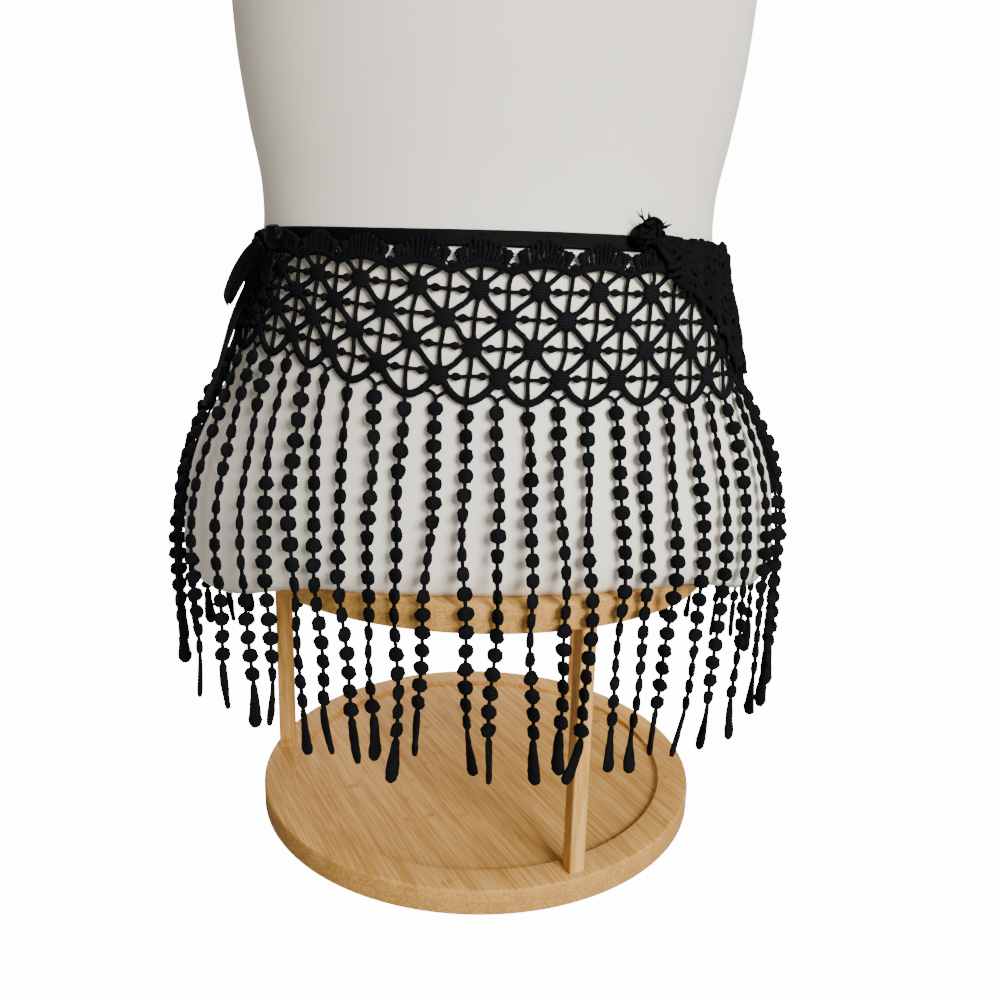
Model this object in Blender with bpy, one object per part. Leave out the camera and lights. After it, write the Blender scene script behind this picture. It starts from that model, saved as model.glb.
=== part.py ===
"""Belly dance hip belt of black corded lace, tied round a white dress form on a round bamboo stand.

Metres, +Z up, the wearer's front towards -Y. The origin is the centre of the stand's underside.
A place on the cloth is given by its column, which counts lace repeats round the body from the
centre front towards +X, its height, and its distance out from the dress form.
"""

import math

import bmesh
import bpy
import numpy as np
from mathutils import Vector
from mathutils.geometry import delaunay_2d_cdt

# Stand: two round boards on three square posts
BOARD_RADIUS = 0.127
BOARD_THICKNESS = 0.0135
RIM_WIDTH = 0.0175
RECESS_DEPTH = 0.003
EDGE_ROUND = 0.0015
BOARD_SIDES = 48
TRAY_UNDERSIDE = 0.1458
TRAY_TOP = TRAY_UNDERSIDE + BOARD_THICKNESS
POST_WIDTH = 0.0085
POST_ROUND = 0.0012
POST_RING_RADIUS = 0.1187
POST_ANGLES_DEG = (168.7, -71.3, 48.7)

# Seams and touching faces keep this much air
SEAM = 0.0003

# Dress form, from its lower edge to the top of its neck
FORM_COLUMNS = ("height", "half_width", "half_depth", "centre_y")
FORM_SECTIONS = (
    (0.1596, 0.1600, 0.1110, -0.0035),
    (0.1660, 0.1628, 0.1135, -0.0035),
    (0.1780, 0.1624, 0.1135, -0.0030),
    (0.1980, 0.1588, 0.1110, -0.0030),
    (0.2140, 0.1537, 0.1070, -0.0030),
    (0.2400, 0.1410, 0.1000, -0.0040),
    (0.2850, 0.1258, 0.0900, -0.0050),
    (0.3250, 0.1166, 0.0835, -0.0050),
    (0.3430, 0.1170, 0.0830, -0.0050),
    (0.3710, 0.1219, 0.0855, -0.0055),
    (0.4020, 0.1262, 0.0895, -0.0065),
    (0.4400, 0.1285, 0.0935, -0.0070),
    (0.4800, 0.1300, 0.0945, -0.0060),
    (0.5300, 0.1335, 0.0880, -0.0030),
    (0.5750, 0.1440, 0.0770, 0.0020),
    (0.6050, 0.1400, 0.0680, 0.0050),
    (0.6300, 0.1130, 0.0600, 0.0070),
    (0.6470, 0.0800, 0.0540, 0.0080),
    (0.6650, 0.0570, 0.0500, 0.0070),
    (0.6950, 0.0510, 0.0480, 0.0040),
    (0.7100, 0.0470, 0.0440, 0.0030),
)
FORM_RINGS = (0.1596, 0.166, 0.178, 0.196, 0.214, 0.232, 0.250, 0.268, 0.286, 0.304, 0.322, 0.340,
              0.358, 0.380, 0.408, 0.436, 0.460, 0.484, 0.508, 0.535, 0.575, 0.605, 0.630, 0.647,
              0.665, 0.695, 0.710)
FORM_SIDES = 32
SQUARENESS = 2.2            # power of the sections' rounded ellipse; 2 is a plain ellipse
HIP_DIP = 0.012             # how far the lower edge hangs below the tray's top at the hips
HIP_DIP_FADE = 0.045        # height over which that dip dies out
HIP_DIP_SPAN = 0.022        # distance past the seat over which the dip grows
SEAT_SHARE = 0.985          # the seat stays inside this share of the lower edge
NECK_DOME = 0.004           # rise of the neck's top over its rim
SEAT_RADIUS = 0.131         # the flat seat on the tray's rim reaches this far
BUST_HEIGHT = 0.485
BUST_OFFSET = 0.055
BUST_SPREAD = 0.050
BUST_REACH = 0.017

# Lace band
REPEATS = 28
PITCH = 0.0272              # one repeat across the front
FRONT_COLUMNS = 5.25        # repeats each side of the centre front that keep this pitch
ROW_HEIGHTS = (0.2957, 0.2829, 0.2702, 0.2575)
DISC_RADIUS = 0.0047
BAR_HALF = 0.0009
GAP_WIDE = 0.302            # half width of a gap at its bar, in repeats
GAP_NARROW = 0.10           # half width of a gap at its disc, in repeats
TOP_GAP = 0.0047
SEAM_MARGIN = 0.05          # whole lace left beside a seam, in repeats
LACE_THICKNESS = 0.0018
LACE_OUT = 0.0013           # inner face above the dress form
LACE_OUT_OVER_RIBBON = 0.0024
RAMP_HEIGHTS = (0.2980, 0.3085)
SKEW = 4.4                  # repeats that the lace leans sideways over a metre of its depth
FAN_COLUMNS = ("column", "height")
FAN_EDGE = ((0.0, 0.3050), (0.12, 0.3120), (0.26, 0.3150), (0.5, 0.3180), (0.74, 0.3150), (0.88, 0.3120))
LOWER_COLUMNS = ("column", "height")
LOWER_EDGE = ((0.0, 0.2528), (0.12, 0.2540), (0.19, 0.2566), (0.5, 0.2566), (0.81, 0.2566), (0.88, 0.2540))

# The band is drawn up and bunched at the wearer's right side, where its end is tied
SIDE_COLUMNS = ("column", "lift", "shift")
LEFT_SIDE = (
    (-13.0, 0.0, 0.0), (-11.0, 0.0010, 0.0), (-9.0, 0.0060, 0.15), (-7.0, 0.0140, 0.35), (-6.0, 0.0178, 0.48),
    (-5.0, 0.0185, 0.50), (-4.0, 0.0165, 0.35), (-3.5, 0.0138, 0.25), (-3.0, 0.0110, 0.12), (-2.5, 0.0085, 0.03),
    (-2.0, 0.0055, 0.0), (-1.0, 0.0012, 0.0), (0.0, 0.0, 0.0),
)
LIFT_COLUMNS = ("height", "share")
LIFT_SHARES = ((0.2575, 1.0), (0.2702, 0.85), (0.2829, 0.62), (0.2957, 0.38), (0.3180, 0.15))

# Lace doubled over the band
FOLD_CLEARANCE = 0.0006     # between the band and the lace doubled over it
FOLD_SPREAD = 0.55          # share of a fold's height that its inner face follows
FOLD_EDGE_COLUMNS = ("column", "height")
FOLD_RIGHT = {"first": 2.65, "last": 6.1, "top": 0.3215, "thickness": 0.0014, "folds": 7, "swell": 0.0032,
              "slant": 0.2}
FOLD_RIGHT_EDGE = ((2.65, 0.3010), (3.3, 0.2940), (3.9, 0.2850), (4.4, 0.2710), (4.8, 0.2570), (6.1, 0.2545))
GATHER_LEFT = {"first": -5.9, "last": -4.75, "top": 0.2980, "thickness": 0.0012, "folds": 3, "swell": 0.0008,
               "slant": -0.3}
GATHER_LEFT_EDGE = ((-5.9, 0.2545), (-4.75, 0.2545))
LUMP_COLUMNS = ("column", "height", "out", "size_across", "size_out", "size_up")
LACE_KNOT_RIGHT = (2.2, 0.3237, 0.0066, 0.0130, 0.0100, 0.0090)

# Ribbon tied round the waist
RIBBON_HEIGHTS = (0.3142, 0.3215)
RIBBON_OUT = 0.0006
RIBBON_THICKNESS = 0.0010
RIBBON_STATIONS = 64
BOW_THICKNESS = 0.0008
RIBBON_KNOT = (-4.15, 0.3165, 0.0076, 0.0120, 0.0062, 0.0115)
ROUTE_COLUMNS = ("column", "height", "out", "width")
LOOP_ROUTE = (
    (-4.39, 0.3120, 0.0080, 0.0060),
    (-4.68, 0.3050, 0.0098, 0.0085),
    (-4.98, 0.2960, 0.0102, 0.0094),
    (-5.22, 0.2880, 0.0106, 0.0094),
    (-5.27, 0.2862, 0.0121, 0.0094),
    (-5.20, 0.2885, 0.0136, 0.0094),
    (-4.94, 0.2975, 0.0138, 0.0094),
    (-4.64, 0.3070, 0.0128, 0.0085),
    (-4.39, 0.3145, 0.0105, 0.0060),
)
TAIL_ROUTE = (
    (-4.36, 0.3090, 0.0066, 0.0050),
    (-4.50, 0.3030, 0.0073, 0.0060),
    (-4.90, 0.2850, 0.0082, 0.0088),
    (-5.25, 0.2680, 0.0082, 0.0092),
    (-5.42, 0.2480, 0.0085, 0.0092),
    (-5.52, 0.2360, 0.0098, 0.0092),
)
END_ROUTE = (
    (-4.16, 0.3104, 0.0070, 0.0045),
    (-4.20, 0.3030, 0.0078, 0.0080),
    (-4.22, 0.2960, 0.0080, 0.0085),
)

# Scalloped cord along the lower edge, which carries the fringe
HEM_TOP_HEIGHT = 0.2508
HEM_DIP = 0.0039
HEM_HALF = 0.0014
HEM_THICKNESS = 0.0022
ROOT_HALF = 0.034           # half of a strand's root along the cord, in repeats

# Fringe strands
STRAND_LENGTH = 0.175
LINK_RADIUS = 0.0009
BEAD_HALF_WIDTH = 0.0022    # half of a strand's mean width over its flat thread beads
BEAD_HALF_DEPTH = 0.0014
STRAND_RINGS = 8
DROP_LENGTH = 0.021
DROP_HALF_WIDTH = 0.0034
DROP_HALF_DEPTH = 0.0015
HANG_CLEARANCE = 0.0042
STRAND_CORNERS = ((-1.0, -0.8), (-0.4, 0.9), (1.0, 0.1))    # a strand's three corners, across and out
TWIST = 0.22                # most that a strand turns about itself at a ring, in radians
NECK = 0.0016               # plain stretch between the cord and a strand's first ring
HANG_EASE = 0.02            # height over which a strand comes away from the cord to its clearance
LEAN_POWER = 1.4            # above 1 a strand's sideways lean grows towards its tip
FRONT_STRAND_COLUMNS = ("column", "lean", "length")
FRONT_STRANDS = (
    (-5.5, 0.0060, 0.1790), (-5.0, 0.0110, 0.1800), (-4.5, 0.0140, 0.1800), (-4.0, 0.0097, 0.1800),
    (-3.5, 0.0120, 0.1835), (-3.0, 0.0104, 0.1820), (-2.5, 0.0105, 0.1790), (-2.0, 0.0051, 0.1775),
    (-1.5, -0.0001, 0.1810), (-1.0, -0.0047, 0.1670), (-0.5, 0.0021, 0.1720), (0.0, -0.0021, 0.1790),
    (0.5, 0.0039, 0.1770), (1.0, 0.0011, 0.1770), (1.5, -0.0040, 0.1790), (2.0, -0.0020, 0.1800),
    (2.5, -0.0055, 0.1800), (3.0, -0.0100, 0.1760), (3.5, -0.0063, 0.1760), (4.0, -0.0107, 0.1800),
    (4.5, -0.0060, 0.1790), (5.0, -0.0030, 0.1760), (5.5, 0.0010, 0.1750),
)


def table_column(table, names, name):
    """One named column of a table, as an array."""
    return np.array([row[names.index(name)] for row in table])


def smooth_read(height, name):
    """A form section's value at any height, on a cubic through the table's rows."""
    knots = table_column(FORM_SECTIONS, FORM_COLUMNS, "height")
    values = table_column(FORM_SECTIONS, FORM_COLUMNS, name)
    slopes = np.gradient(values, knots)
    height = np.clip(np.asarray(height, float), knots[0], knots[-1])
    index = np.clip(np.searchsorted(knots, height, side="right") - 1, 0, len(knots) - 2)
    span = knots[index + 1] - knots[index]
    t = (height - knots[index]) / span
    return ((2 * t**3 - 3 * t**2 + 1) * values[index] + (t**3 - 2 * t**2 + t) * span * slopes[index]
            + (3 * t**2 - 2 * t**3) * values[index + 1] + (t**3 - t**2) * span * slopes[index + 1])


def section_point(turn, height):
    """A point of the form's skin: turn 0 is the centre front, growing towards +X, in radians."""
    power = 2 / SQUARENESS
    across, along = np.sin(turn), -np.cos(turn)
    x = smooth_read(height, "half_width") * np.sign(across) * np.abs(across) ** power
    y = smooth_read(height, "half_depth") * np.sign(along) * np.abs(along) ** power
    return x, y + smooth_read(height, "centre_y")


GIRTH_TURNS = np.linspace(0.0, math.pi, 241)
GIRTH_HEIGHTS = np.linspace(0.235, 0.345, 45)


def girth_tables():
    """Distance along the skin from the centre front, for each turn (columns) and height (rows)."""
    x, y = section_point(GIRTH_TURNS[None, :], GIRTH_HEIGHTS[:, None])
    steps = np.hypot(np.diff(x, axis=1), np.diff(y, axis=1))
    return np.concatenate([np.zeros((len(GIRTH_HEIGHTS), 1)), np.cumsum(steps, axis=1)], axis=1)


GIRTH = girth_tables()


def turn_of(column, height):
    """The turn at which a lace column stands: true pitch across the front, the rest shared out."""
    column, height = np.broadcast_arrays(np.asarray(column, float), np.asarray(height, float))
    column = column - SKEW * (ROW_HEIGHTS[0] - height)
    wrapped = (column + REPEATS / 2) % REPEATS - REPEATS / 2
    size = np.abs(wrapped)
    row = np.clip((height - GIRTH_HEIGHTS[0]) / (GIRTH_HEIGHTS[1] - GIRTH_HEIGHTS[0]), 0, len(GIRTH_HEIGHTS) - 1.001)
    low = row.astype(int)
    blend = row - low
    turns = np.empty(column.shape)
    for place in np.ndindex(column.shape):
        distances = GIRTH[low[place]] * (1 - blend[place]) + GIRTH[low[place] + 1] * blend[place]
        front = FRONT_COLUMNS * PITCH
        rest = (distances[-1] - front) / (REPEATS / 2 - FRONT_COLUMNS)
        beyond = max(size[place] - FRONT_COLUMNS, 0.0)
        distance = min(size[place], FRONT_COLUMNS) * PITCH + beyond * rest
        turns[place] = math.copysign(np.interp(distance, distances, GIRTH_TURNS), wrapped[place])
    return turns


def outward_of(turn, height):
    """The skin's level outward direction at a turn and height."""
    step = 1e-4
    x0, y0 = section_point(turn - step, height)
    x1, y1 = section_point(turn + step, height)
    dx, dy = x1 - x0, y1 - y0
    length = np.hypot(dx, dy)
    return dy / length, -dx / length


def on_body(column, height, out):
    """Points at lace columns and heights, a distance out from the form's skin."""
    height = np.asarray(height, float)
    turn = turn_of(column, height)
    x, y = section_point(turn, height)
    nx, ny = outward_of(turn, height)
    return np.stack(np.broadcast_arrays(x + nx * out, y + ny * out, height), axis=-1)


def material(name, colour, roughness, metallic=0.0):
    """A plain finish for one kind of piece."""
    finish = bpy.data.materials.new(name)
    finish.use_nodes = True
    shader = finish.node_tree.nodes["Principled BSDF"]
    shader.inputs["Base Color"].default_value = (*colour, 1.0)
    shader.inputs["Roughness"].default_value = roughness
    shader.inputs["Metallic"].default_value = metallic
    return finish


def add_piece(name, points, faces, finish, parent, smooth=False):
    """A named object from points and faces, with its faces turned outward."""
    mesh = bpy.data.meshes.new(name)
    mesh.from_pydata([tuple(map(float, point)) for point in points], [], faces)
    shape = bmesh.new()
    shape.from_mesh(mesh)
    bmesh.ops.recalc_face_normals(shape, faces=shape.faces)
    shape.to_mesh(mesh)
    shape.free()
    if smooth:
        mesh.shade_smooth()
        mesh.set_sharp_from_angle(angle=math.radians(40))
    mesh.materials.append(finish)
    piece = bpy.data.objects.new(name, mesh)
    piece.parent = parent
    bpy.context.collection.objects.link(piece)
    return piece


def ring_faces(first, second, count):
    """Quads between two closed rings of points that start at these indices."""
    return [(first + i, first + (i + 1) % count, second + (i + 1) % count, second + i) for i in range(count)]


def turned_board(name, underside, finish, parent):
    """A round board with a low rim, turned about its own axis."""
    top = underside + BOARD_THICKNESS
    inner = BOARD_RADIUS - RIM_WIDTH
    profile = ((BOARD_RADIUS, underside), (BOARD_RADIUS, top - EDGE_ROUND), (BOARD_RADIUS - EDGE_ROUND, top),
               (inner, top), (inner, top - RECESS_DEPTH))
    angles = np.arange(BOARD_SIDES) * 2 * math.pi / BOARD_SIDES
    points = [(r * math.cos(a), r * math.sin(a), z) for r, z in profile for a in angles]
    faces = []
    for ring in range(len(profile) - 1):
        faces += ring_faces(ring * BOARD_SIDES, (ring + 1) * BOARD_SIDES, BOARD_SIDES)
    points += [(0, 0, underside), (0, 0, top - RECESS_DEPTH)]
    low, high, last = len(points) - 2, len(points) - 1, (len(profile) - 1) * BOARD_SIDES
    for i in range(BOARD_SIDES):
        after = (i + 1) % BOARD_SIDES
        faces += [(low, i, after), (high, last + after, last + i)]
    return add_piece(name, points, faces, finish, parent, smooth=True)


def post(name, angle_deg, finish, parent):
    """A square post with softened corners, standing on the base's rim."""
    half, soft = POST_WIDTH / 2, POST_WIDTH / 2 - POST_ROUND
    outline = ((half, soft), (soft, half), (-soft, half), (-half, soft),
               (-half, -soft), (-soft, -half), (soft, -half), (half, -soft))
    low, high = BOARD_THICKNESS + SEAM, TRAY_UNDERSIDE - SEAM
    points = [(x, y, z) for z in (low, high) for x, y in outline]
    count = len(outline)
    faces = ring_faces(0, count, count) + [tuple(range(count)), tuple(range(count, 2 * count))]
    piece = add_piece(name, points, faces, finish, parent)
    angle = math.radians(angle_deg)
    piece.location = (POST_RING_RADIUS * math.cos(angle), POST_RING_RADIUS * math.sin(angle), 0)
    piece.rotation_euler = (0, 0, angle)
    return piece


def hip_dip(x, y, height):
    """How far the form's lower edge hangs down where it stands out past the tray."""
    past = np.clip((np.hypot(x, y) - SEAT_RADIUS) / HIP_DIP_SPAN, 0, 1)
    fade = np.clip(1 - (height - FORM_RINGS[0]) / HIP_DIP_FADE, 0, 1)
    return HIP_DIP * past * past * (3 - 2 * past) * fade * fade


def dress_form(finish, parent):
    """A smooth limbless form: rounded sections up to the neck, with a flat seat on the tray."""
    turns = np.arange(FORM_SIDES) * 2 * math.pi / FORM_SIDES
    points, faces = [], []
    for height in FORM_RINGS:
        x, y = section_point(turns, height)
        side = np.exp(-((np.abs(x) - BUST_OFFSET) / BUST_SPREAD) ** 2)
        level = math.exp(-((height - BUST_HEIGHT) / BUST_SPREAD) ** 2)
        front = np.clip(-y / float(smooth_read(height, "half_depth")), 0, 1)
        y = y - BUST_REACH * side * level * front
        z = height - hip_dip(x, y, height)
        points += list(zip(x, y, np.broadcast_to(z, x.shape)))
    for ring in range(len(FORM_RINGS) - 1):
        faces += ring_faces(ring * FORM_SIDES, (ring + 1) * FORM_SIDES, FORM_SIDES)
    edge_x, edge_y = section_point(turns, FORM_RINGS[0])
    inward = np.minimum(SEAT_RADIUS / np.hypot(edge_x, edge_y), SEAT_SHARE)
    seat = TRAY_TOP + SEAM
    first_seat = len(points)
    points += list(zip(edge_x * inward, edge_y * inward, np.full(FORM_SIDES, seat)))
    faces += ring_faces(first_seat, 0, FORM_SIDES)
    points += [(0, 0, seat), (0, smooth_read(FORM_RINGS[-1], "centre_y"), FORM_RINGS[-1] + NECK_DOME)]
    low, high, last = len(points) - 2, len(points) - 1, (len(FORM_RINGS) - 1) * FORM_SIDES
    for i in range(FORM_SIDES):
        after = (i + 1) % FORM_SIDES
        faces += [(low, first_seat + after, first_seat + i), (high, last + i, last + after)]
    return add_piece("dress_form", points, faces, finish, parent, smooth=True)


def lace_out(height):
    """How far the lace's inner face stands out: close to the form, and out over the ribbon."""
    rise = np.clip((height - RAMP_HEIGHTS[0]) / (RAMP_HEIGHTS[1] - RAMP_HEIGHTS[0]), 0, 1)
    return LACE_OUT + (LACE_OUT_OVER_RIBBON - LACE_OUT) * rise


def lace_height(column, height):
    """The height at which a place on the band really lies, drawn up at the tied side."""
    wrapped = (np.asarray(column, float) + REPEATS / 2) % REPEATS - REPEATS / 2
    lift = np.interp(wrapped, table_column(LEFT_SIDE, SIDE_COLUMNS, "column"),
                     table_column(LEFT_SIDE, SIDE_COLUMNS, "lift"))
    share = np.interp(height, table_column(LIFT_SHARES, LIFT_COLUMNS, "height"),
                      table_column(LIFT_SHARES, LIFT_COLUMNS, "share"))
    return height + lift * share


def on_lace(column, height, raised):
    """Points of the band at its own columns and heights, raised above its inner face."""
    column = np.asarray(column, float)
    wrapped = (column + REPEATS / 2) % REPEATS - REPEATS / 2
    shift = np.interp(wrapped, table_column(LEFT_SIDE, SIDE_COLUMNS, "column"),
                      table_column(LEFT_SIDE, SIDE_COLUMNS, "shift"))
    real = lace_height(column, height)
    return on_body(column + shift, real, lace_out(real) + raised)


def lace_gaps(first, last):
    """The gaps cut through the lace between two columns: four corners each, as column and height."""
    gaps = []
    for half in range(math.ceil(first * 2), math.floor(last * 2) + 1):
        column = half / 2
        if column - GAP_WIDE < first + SEAM_MARGIN or column + GAP_WIDE > last - SEAM_MARGIN:
            continue
        whole = half % 2 == 0
        for row in range(len(ROW_HEIGHTS) - 1):
            disc_above = (row % 2 == 0) != whole
            upper, lower = ROW_HEIGHTS[row], ROW_HEIGHTS[row + 1]
            if disc_above:
                top, low = upper - DISC_RADIUS, lower + BAR_HALF
                widths = (GAP_NARROW, GAP_WIDE)
            else:
                top, low = upper - BAR_HALF, lower + DISC_RADIUS
                widths = (GAP_WIDE, GAP_NARROW)
            gaps.append(((column - widths[1], low), (column + widths[1], low),
                         (column + widths[0], top), (column - widths[0], top)))
        if whole:
            low = ROW_HEIGHTS[0] + BAR_HALF
            gaps.append(((column - GAP_WIDE, low), (column + GAP_WIDE, low),
                         (column + GAP_NARROW, low + TOP_GAP), (column - GAP_NARROW, low + TOP_GAP)))
    return gaps


def plain_places(first, last):
    """Points inside the lace that hold its curve: under each fan, and near a seam, where no gap is cut."""
    places = []
    for half in range(math.ceil(first * 2), math.floor(last * 2) + 1):
        column = half / 2
        inside = first + SEAM_MARGIN / 2 < column < last - SEAM_MARGIN / 2
        if half % 2 and inside:
            places.append((column, RAMP_HEIGHTS[1]))
        if inside and (column - GAP_WIDE < first + SEAM_MARGIN or column + GAP_WIDE > last - SEAM_MARGIN):
            places += [(column, height) for height in ROW_HEIGHTS[:-1]]
    return places


def edge_points(edge, names, first, last):
    """A repeated edge between two columns, with its end points worked out in between."""
    columns = table_column(edge, names, "column")
    heights = table_column(edge, names, "height")
    points = [(first, float(np.interp(first % 1, [*columns, 1.0], [*heights, heights[0]])))]
    for repeat in range(math.floor(first) - 1, math.ceil(last) + 1):
        points += [(repeat + c, h) for c, h in zip(columns, heights) if first + 0.02 < repeat + c < last - 0.02]
    points.append((last, float(np.interp(last % 1, [*columns, 1.0], [*heights, heights[0]]))))
    return points


def inside_loops(point, starts, ends):
    """Whether a flat point lies in the outline and in none of its gaps, by counting the edges above it."""
    spans = (starts[:, 0] > point[0]) != (ends[:, 0] > point[0])
    a, b = starts[spans], ends[spans]
    level = a[:, 1] + (point[0] - a[:, 0]) * (b[:, 1] - a[:, 1]) / (b[:, 0] - a[:, 0])
    return np.count_nonzero(level > point[1]) % 2 == 1


def cut_wall(name, outline, gaps, places, thickness, finish, parent):
    """A wall wrapped on the body from a flat outline with gaps, given as column and height."""
    loops = [outline, *gaps]
    flat, edges = [], []
    for loop in loops:
        start = len(flat)
        flat += [Vector((column * PITCH, height)) for column, height in loop]
        edges += [(start + i, start + (i + 1) % len(loop)) for i in range(len(loop))]
    flat += [Vector((column * PITCH, height)) for column, height in places]
    starts = np.array([flat[a] for a, b in edges])
    ends = np.array([flat[b] for a, b in edges])
    corners, _, triangles, *_ = delaunay_2d_cdt(flat, edges, [], 0, 1e-7, False)
    corners = np.array(corners)
    triangles = [t for t in triangles if inside_loops(corners[list(t)].mean(axis=0), starts, ends)]
    column, height = corners[:, 0] / PITCH, corners[:, 1]
    inner = on_lace(column, height, 0.0)
    outer = on_lace(column, height, thickness)
    count = len(corners)
    used = {}
    for triangle in triangles:
        for i in range(3):
            a, b = triangle[i], triangle[(i + 1) % 3]
            used[(a, b)] = used.get((a, b), 0) + 1
    walls = [(a, b, b + count, a + count) for a, b in used if (b, a) not in used]
    faces = [tuple(t) for t in triangles] + [tuple(i + count for i in reversed(t)) for t in triangles] + walls
    return add_piece(name, [*inner, *outer], faces, finish, parent)


def lace_panel(name, first, last, finish, parent):
    """One length of the lace band: fans along the top, cut gaps, and discs along the bottom."""
    top = edge_points(FAN_EDGE, FAN_COLUMNS, first, last)
    bottom = edge_points(LOWER_EDGE, LOWER_COLUMNS, first, last)
    rows = sorted([*ROW_HEIGHTS[:-1], RAMP_HEIGHTS[1]])
    outline = bottom + [(last, h) for h in rows] + top[::-1] + [(first, h) for h in rows[::-1]]
    places = plain_places(first, last)
    return cut_wall(name, outline, lace_gaps(first, last), places, LACE_THICKNESS, finish, parent)


def box_faces(first, stations, closed=False):
    """Quads along a bar of four-cornered stations, with end faces unless it is a closed ring."""
    faces = []
    for s in range(stations if closed else stations - 1):
        here, after = first + 4 * s, first + 4 * ((s + 1) % stations)
        faces += [(here + k, here + (k + 1) % 4, after + (k + 1) % 4, after + k) for k in range(4)]
    if not closed:
        end = first + 4 * (stations - 1)
        faces += [(first, first + 1, first + 2, first + 3), (end + 3, end + 2, end + 1, end)]
    return faces


def waist_ribbon(finish, parent):
    """The ribbon's level stretch right round the waist."""
    turns = np.arange(RIBBON_STATIONS) * 2 * math.pi / RIBBON_STATIONS
    low, high = RIBBON_HEIGHTS
    corners = ((low, RIBBON_OUT), (low, RIBBON_OUT + RIBBON_THICKNESS),
               (high, RIBBON_OUT + RIBBON_THICKNESS), (high, RIBBON_OUT))
    rings = []
    for height, out in corners:
        x, y = section_point(turns, height)
        nx, ny = outward_of(turns, height)
        rings.append(np.stack([x + nx * out, y + ny * out, np.full_like(x, height)], axis=1))
    points = np.stack(rings, axis=1).reshape(-1, 3)
    return add_piece("ribbon_waist", points, box_faces(0, RIBBON_STATIONS, closed=True), finish, parent)


def hash_unit(number, salt):
    """A fixed number from -1 to 1 for each strand, so that no two hang quite alike."""
    return 2 * ((math.sin(number * 12.9898 + salt * 78.233) * 43758.5453) % 1.0) - 1


def strand_values(column):
    """A strand's sideways lean at its tip and its length."""
    for row in FRONT_STRANDS:
        if abs(row[0] - column) < 1e-6:
            return row[FRONT_STRAND_COLUMNS.index("lean")], row[FRONT_STRAND_COLUMNS.index("length")]
    return 0.0014 * hash_unit(column, 1.0), STRAND_LENGTH + 0.003 * hash_unit(column, 2.0)


def reach_of(start, normal, height):
    """Distance out from a strand's root, level along its normal, to the form's or tray's side."""
    if TRAY_UNDERSIDE - 0.001 <= height <= TRAY_TOP + 0.001:
        along = float(start[:2] @ normal)
        across = float(start[0] * normal[1] - start[1] * normal[0])
        tray = math.sqrt(max(BOARD_RADIUS**2 - across**2, 0.0)) - along
    else:
        tray = -1.0
    if height < TRAY_UNDERSIDE:
        return tray
    level = max(height, FORM_RINGS[0])
    a, b = float(smooth_read(level, "half_width")), float(smooth_read(level, "half_depth"))
    centre = float(smooth_read(level, "centre_y"))
    near, far = -0.05, 0.08
    for _ in range(30):
        middle = (near + far) / 2
        x, y = start[0] + normal[0] * middle, start[1] + normal[1] * middle - centre
        inside = abs(x / a) ** SQUARENESS + abs(y / b) ** SQUARENESS < 1
        near, far = (middle, far) if inside else (near, middle)
    return max(near, tray)


def body_turn(point):
    """Sine and cosine parts of the turn at which a point stands round its own level section."""
    level = float(point[2])
    x = point[0] / float(smooth_read(level, "half_width"))
    y = (point[1] - float(smooth_read(level, "centre_y"))) / float(smooth_read(level, "half_depth"))
    power = SQUARENESS / 2
    return math.copysign(abs(x) ** power, x), -math.copysign(abs(y) ** power, y)


def hanging_path(column, root, samples):
    """Points down a strand that lies over the hip and tray, then hangs straight, at given distances."""
    turn = math.atan2(*body_turn(root))
    normal = np.array([float(v) for v in outward_of(turn, root[2])])
    sideways = np.array([-normal[1], normal[0]])
    lean, length = strand_values(column)
    heights = np.linspace(root[2], TRAY_UNDERSIDE - 0.002, 40)
    reach = np.array([reach_of(root, normal, h) for h in heights])
    ease = np.clip((root[2] - heights) / HANG_EASE, 0, 1)
    reach = np.maximum(reach + HANG_CLEARANCE * ease, 0)
    reach[0] = 0.0
    corner, hull = 0, [0]
    widest = int(np.argmax(reach))
    while corner < widest:
        slopes = (reach[corner + 1:widest + 1] - reach[corner]) / (heights[corner] - heights[corner + 1:widest + 1])
        corner += 1 + int(np.argmax(slopes))
        hull.append(corner)
    hull_z = [heights[i] for i in hull] + [root[2] - 0.4]
    hull_r = [reach[i] for i in hull] + [reach[widest]]
    fine_z = np.linspace(root[2], root[2] - 0.21, 211)
    fine_r = np.interp(-fine_z, [-z for z in hull_z], hull_r)
    run = np.concatenate([[0], np.cumsum(np.hypot(np.diff(fine_z), np.diff(fine_r)))])
    z = np.interp(samples, run, fine_z)
    r = np.interp(samples, run, fine_r)
    shift = lean * (np.asarray(samples) / length) ** LEAN_POWER
    xy = root[None, :2] + r[:, None] * normal[None, :] + shift[:, None] * sideways[None, :]
    return np.column_stack([xy, z]), normal, sideways


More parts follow.
